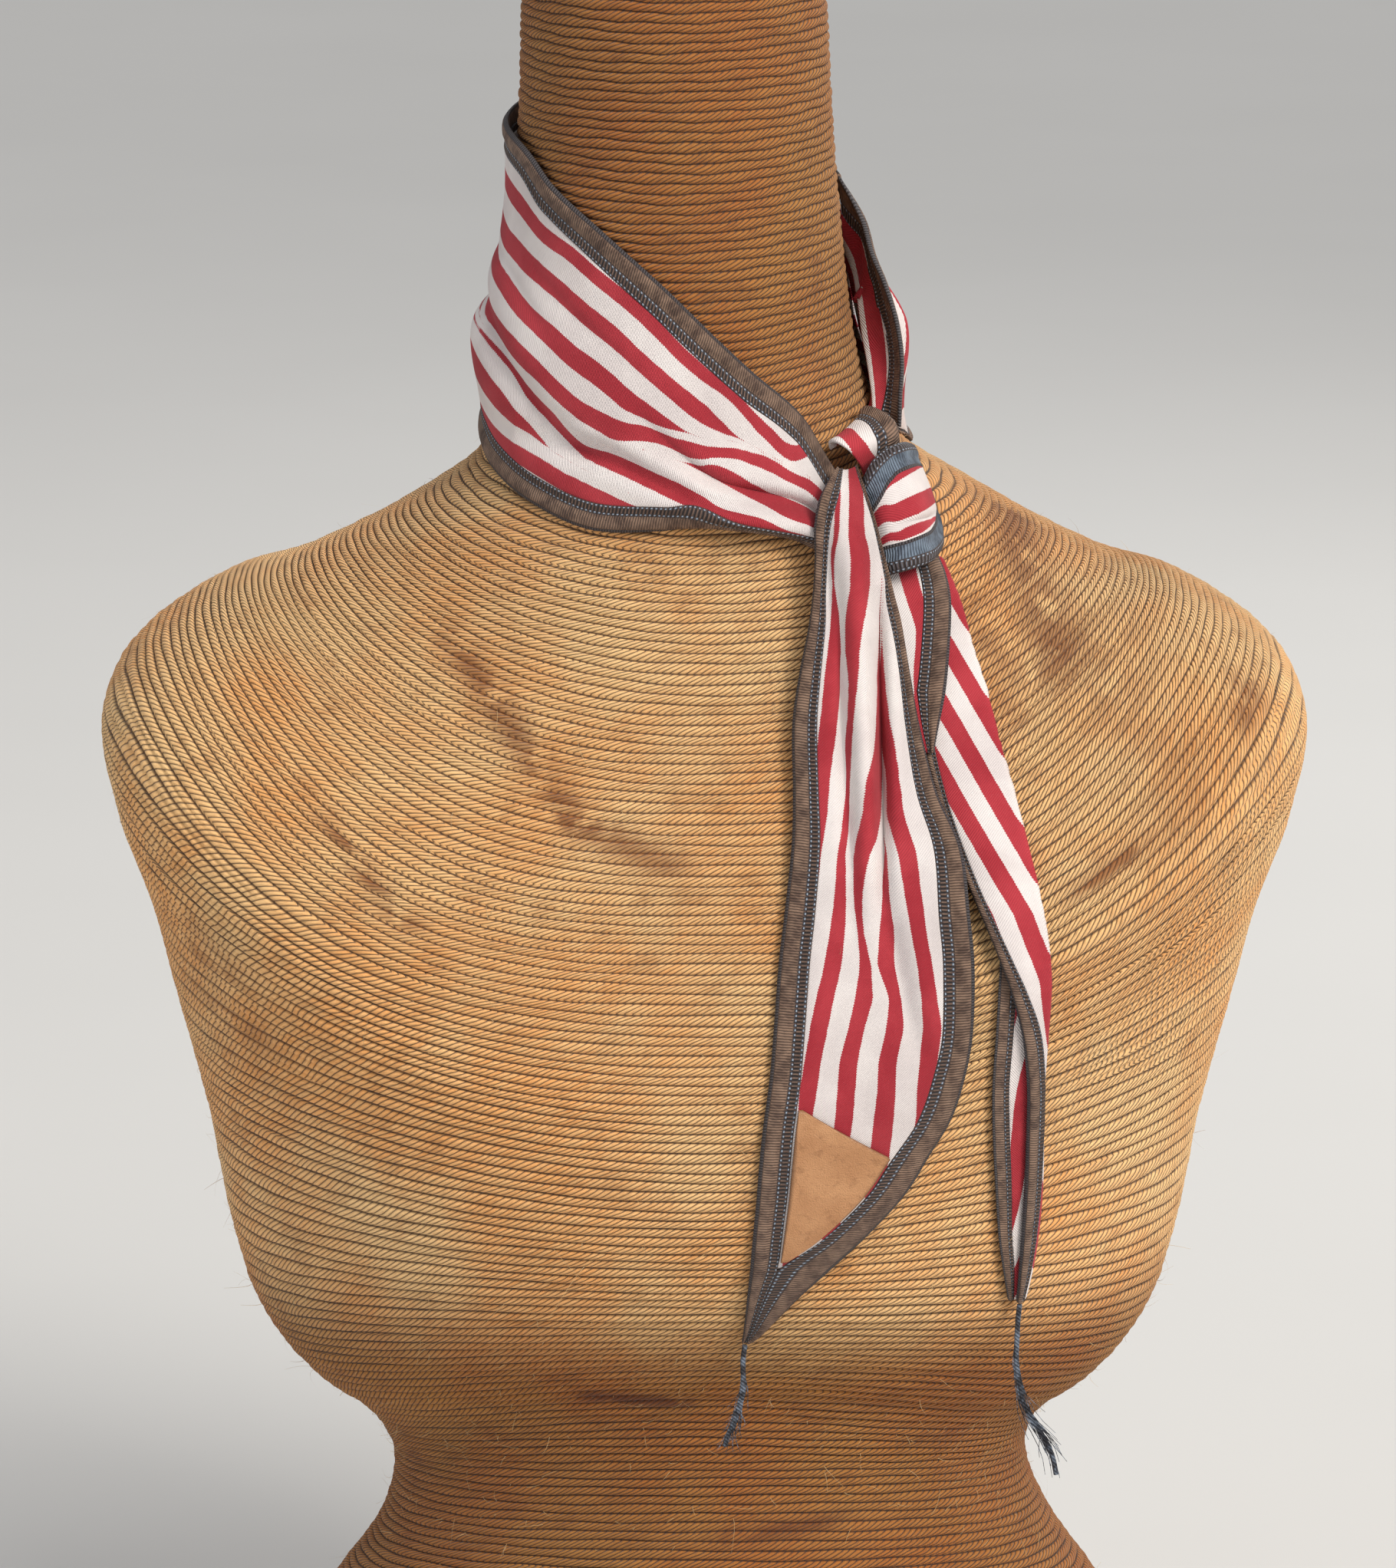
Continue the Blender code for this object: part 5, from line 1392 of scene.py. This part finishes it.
def leather_finish():
    """Vegetable-tanned leather: fine pores, soft wear, darker near its edges."""
    made, tree, shader = new_finish("leather", 0.48, Coat_Weight=0.12, Coat_Roughness=0.45)
    across, along = uv_parts(tree, "hide")
    place = node(tree, "TexCoord").outputs["Object"]
    pores = node(tree, "TexVoronoi", {"Vector": place, "Scale": 2100.0}).outputs[0]
    creases = noise(tree, place, 330.0, 5.0, 0.6)
    worn = noise(tree, place, 70.0, 4.0)
    colour = mixed(tree, steps_between(tree, worn, 0.35, 0.68), LEATHER_TAN, LEATHER_PALE)
    share = steps_between(tree, creases, 0.52, 0.72, 0, 0.4)
    colour = mixed(tree, share, colour, LEATHER_CREASE)
    side = sum_of(tree, "ABSOLUTE", sum_of(tree, "MULTIPLY_ADD", across, 2.0, -1.0))
    edge = steps_between(tree, side, 0.88, 0.99, 0, 0.6)
    colour = mixed(tree, edge, colour, LEATHER_EDGE)
    top = steps_between(tree, along, 0.03, 0.0, 0, 0.5)
    colour = mixed(tree, top, colour, LEATHER_EDGE)
    height = sum_of(tree, "MULTIPLY_ADD", creases, 1.5, pores)
    join_colour(tree, shader, colour, height, 0.00016)
    return made


def lay_label():
    """The label on the tail's inner face, moved out clear of the cloth."""
    top, corner = LABEL_TOP_LEFT[1] * MM, LABEL_TOP_RIGHT[1] * MM
    heights = np.linspace(top, corner, 26)
    heights = np.append(heights, np.linspace(corner, LABEL_POINT_HEIGHT * MM, 44)[1:])
    every = np.linspace(0, len(FRONT_TAIL) - 1, 400)
    every_height = smooth_rows(columns(FRONT_TAIL), every)[:, 0]
    place = np.interp(-heights, -every_height, every)
    points = front_surface(FRONT_TAIL, place, KNOT_PLACES)
    points = points - [0, CLOTH_WALL + SEAM_GAP, 0]
    lengths = arc_lengths(points)[:, -1]
    left, right = smooth_rows(columns(FRONT_TAIL), place).T[3:5]
    gap, least = 0.6 * MM, 1.2 * MM
    start = left + gap
    slope = (LABEL_TOP_RIGHT[0] - LABEL_TOP_LEFT[0]) * MM / (top - corner)
    cut = start + least + slope * (top - heights)
    end = np.maximum(np.minimum(lengths - right - gap, cut), start + least)
    inner = slice_rows(points, start, end, LABEL_POINTS)
    part = np.linspace(0, 1, LABEL_POINTS)
    down = (heights[0] - heights) / (heights[0] - heights[-1])
    pairs = np.stack(np.broadcast_arrays(part[None, :], down[:, None]), -1)
    rises = soft_rims(len(inner), LABEL_POINTS, LABEL_WALL, 2)
    maps = {"hide": pairs}
    slab("leather_label", inner, rises, maps, leather_finish(), "leather", "label")


lay_label()

# The rear tail comes out below the knot behind the front one. Its upper edge is
# turned over, and it hangs folded lengthwise to a second, slimmer point.

# Its upper turned-over edge, right of the front tail. Columns as the front tail's,
# without the borders' widths.
REAR_TURN = {
    "under_wrap": (447.0, 53.1, 72.2, 7.0, 6.6, 5.4),
    "below_wrap": (441.5, 54.3, 74.9, 7.0, 7.2, 7.6),
    "upper": (434.0, 56.2, 76.4, 6.6, 7.8, 9.2),
    "middle": (421.0, 59.3, 75.8, 6.4, 7.4, 8.6),
    "narrow": (409.0, 62.1, 74.5, 6.2, 7.0, 8.0),
    "closing": (399.2, 65.2, 72.4, 6.2, 6.7, 7.3),
    "end": (391.5, 68.4, 70.8, 6.3, 6.5, 6.7),
}
# Where the stripes' edges lie on it, in the columns of the front tail's.
TURNOVER_STRIPES = (
    (447, 48.0, 53.5, 58.5, 64.5),
    (440, 50.0, 55.4, 60.6, 66.3),
    (427, 54.0, 60.6, 65.3, 70.8),
    (414, 56.0, 62.3, 64.4, 70.3),
    (401, 57.0, 63.6, 64.8, 70.2),
    (391, 58.0, 64.0, 65.4, 70.2),
)
# The rear tail. Columns, in mm: height, front left edge, right turn, hidden
# left edge behind; widths of the border that shows at the front edge and of the
# one behind; distances off the form of the front edge, the front's middle, the
# right turn and the hidden edge.
REAR_TAIL = {
    "under_wrap": (445.5, 50.8, 73.0, 64.6, 9, 6, 3.4, 3.8, 3.2, 2.8),
    "below_wrap": (433, 54.1, 78.6, 68, 9, 6, 3.7, 4.2, 3.2, 2.8),
    "upper": (419.5, 58.4, 82.6, 70, 8, 6, 3.8, 4.2, 3.2, 2.8),
    "chest_top": (408.2, 62.1, 86.6, 72.2, 6.5, 6, 3.8, 4.2, 3.2, 2.8),
    "chest": (397.5, 65.9, 89.4, 74, 4.5, 6, 3.8, 4.2, 3.2, 2.8),
    "crossing": (389.8, 68.2, 91.7, 76.5, 3.4, 6, 3.8, 4.2, 3.2, 2.8),
    "below_crossing": (378, 71.7, 95.3, 79, 3.2, 6, 3.4, 4.4, 2.9, 2.3),
    "middle": (367.2, 75.5, 98.1, 82.5, 3.2, 6, 3.4, 4.4, 2.9, 2.3),
    "slanting": (353.9, 80.8, 101.6, 87, 3.4, 6, 3.4, 4.4, 2.9, 2.3),
    "low": (340.8, 86.8, 104.4, 90.5, 3.6, 6, 3.4, 4.4, 2.9, 2.3),
    "turning": (330.5, 91.2, 105.8, 91, 4.2, 6, 3.4, 4.4, 2.9, 2.3),
    "turned": (321, 94.6, 106.2, 90.6, 5, 6, 3.4, 4.4, 2.9, 2.3),
    "narrow": (307.5, 98.0, 105.5, 90, 5.8, 6, 3.4, 4.2, 2.9, 2.3),
    "slim": (291, 99.8, 104.6, 89.2, 6, 6, 3.4, 4, 2.9, 2.3),
    "slimmer": (274.7, 100.0, 104.6, 89.6, 6, 6.2, 3.4, 3.9, 2.9, 2.3),
    "pointing": (255.9, 99.8, 104.8, 90.8, 5.8, 6, 3.4, 3.8, 2.9, 2.3),
    "tip_upper": (239.8, 99.2, 104.0, 92.0, 5.4, 5.2, 3.4, 3.7, 2.9, 2.3),
    "tip": (226.4, 98.6, 102.4, 93.8, 4.2, 4, 3.4, 3.7, 2.9, 2.3),
    "point": (214.5, 98.1, 100.2, 95.8, 2.2, 2, 3.4, 3.6, 2.9, 2.3),
}
STRIPE_WIDTH = 6.05 * MM
# Where one red starts, x against height in mm, as the stripes slant down it.
REAR_RED = ((447, 44.0), (401, 72.4), (345, 107.0), (325, 115.0), (214, 128.0))


def rear_surface(place, across):
    """The rear tail: its front, its right turn and its layer behind."""
    rows = smooth_rows(columns(REAR_TAIL), place).T
    z, front, turn, hidden = rows[:4]
    front_off, middle_off, turn_off, hidden_off = rows[6:]
    middle = (front + turn) / 2
    back = (turn + hidden) / 2 + 0.15 * (turn - hidden)
    x = spread([front, middle, turn, back, hidden], across)
    off = spread([front_off, middle_off, turn_off, hidden_off, hidden_off], across)
    return down_front(x, np.broadcast_to(z[:, None], x.shape), off)


def hang_rear_tail():
    """The turned-over edge, the folded tail behind it, and their borders.

    Each stripe is STRIPE_WIDTH of cloth, laid out flat from where a red starts.
    """
    place = np.linspace(0, len(REAR_TURN) - 1, 90)
    turned = front_surface(REAR_TURN, place, FINE_PLACES)
    lengths = arc_lengths(turned)[:, -1]
    border = np.minimum(BORDER_WIDTH, lengths * 0.72)
    inner = slice_rows(turned, 0 * border, lengths - border + 0.5 * MM, 40)
    depth = depth_in_red(TURNOVER_STRIPES[::-1], inner[:, 0, 2] / MM, inner[..., 0] / MM)
    cloth = lay_cloth("rear_turnover", inner, depth)
    strip = slice_rows(turned, lengths - border, lengths, BORDER_POINTS)
    edge = sew_border("rear_turnover", strip, True)

    place = np.linspace(0, len(REAR_TAIL) - 1, 260)
    rear = rear_surface(place, FINE_PLACES)
    lengths = arc_lengths(rear)[:, -1]
    front, behind = smooth_rows(columns(REAR_TAIL), place).T[4:6]
    tuck = 0.4 * MM
    inner = slice_rows(rear, front - tuck, lengths - behind + tuck, 90)
    heights, starts = np.array(REAR_RED[::-1]).T
    red = np.interp(inner[:, 0, 2] / MM, heights, starts) * MM
    laid_out = inner[:, :1, 0] + arc_lengths(inner)
    part = (laid_out - red[:, None]) / STRIPE_WIDTH % 2
    depth = np.where(part > 1, np.abs(part - 1.5) - 0.5, 0.5 - np.abs(part - 0.5))
    cloth = lay_cloth("rear_tail", inner, depth * STRIPE_WIDTH / MM)
    strip = slice_rows(rear, 0 * front, front, BORDER_POINTS)
    edges = [sew_border("rear_tail_front", strip, False)]
    strip = slice_rows(rear, lengths - behind, lengths, BORDER_POINTS)
    edges.append(sew_border("rear_tail_back", strip, True))


hang_rear_tail()

# A plain pale floor, soft light from the upper right and in front, and a weak
# fill from the left.
FLOOR_HALF = 6.0
FLOOR_LEVEL = -0.5 * MM
BOARD_DULL = (0.66, 0.65, 0.63, 1)
BOARD_PALE = (0.70, 0.69, 0.67, 1)


def lay_floor():
    """A wide square of pale matt board, a hair below the form's foot."""
    turns = ((-1, -1), (1, -1), (1, 1), (-1, 1))
    corners = [(FLOOR_HALF * x, FLOOR_HALF * y, FLOOR_LEVEL) for x, y in turns]
    mesh = bpy.data.meshes.new("floor")
    mesh.from_pydata(corners, [], [(0, 1, 2, 3)])
    made, tree, shader = new_finish("pale_board", 0.9)
    place = node(tree, "TexCoord").outputs["Object"]
    share = noise(tree, place, 3.0)
    join_colour(tree, shader, mixed(tree, share, BOARD_DULL, BOARD_PALE))
    mesh.materials.append(made)
    floor = bpy.data.objects.new("floor", mesh)
    bpy.context.scene.collection.objects.link(floor)


def hang_light(name, place, aim, size, power, colour):
    """A square soft box that faces a point."""
    light = bpy.data.lights.new(name, "AREA")
    light.shape = "SQUARE"
    light.size = size
    light.energy = power
    light.color = colour
    made = bpy.data.objects.new(name, light)
    made.location = place
    made.rotation_euler = (Vector(aim) - Vector(place)).to_track_quat("-Z", "Y").to_euler()
    bpy.context.scene.collection.objects.link(made)


lay_floor()
hang_light("key", (1.5, -1.5, 1.9), (0, 0, 0.36), 0.8, 42, (1.0, 0.96, 0.90))
hang_light("fill", (-1.9, -1.5, 0.9), (0, 0, 0.35), 1.6, 9, (0.95, 0.97, 1.0))
hang_light("rim", (0.8, 1.7, 1.6), (0, 0, 0.4), 1.2, 14, (1.0, 0.98, 0.95))
day = bpy.data.lights.new("daylight", "SUN")
day.energy = 1.1
day.angle = np.radians(30)
day.color = (1.0, 0.97, 0.93)
daylight = bpy.data.objects.new("daylight", day)
daylight.rotation_euler = (np.radians(38), 0, np.radians(35))
bpy.context.scene.collection.objects.link(daylight)
world = bpy.data.worlds.new("studio")
world.use_nodes = True
sky = world.node_tree.nodes["Background"]
sky.inputs["Color"].default_value = (0.80, 0.82, 0.85, 1)
sky.inputs["Strength"].default_value = 0.45
bpy.context.scene.world = world
bpy.context.scene.view_settings.view_transform = "Standard"
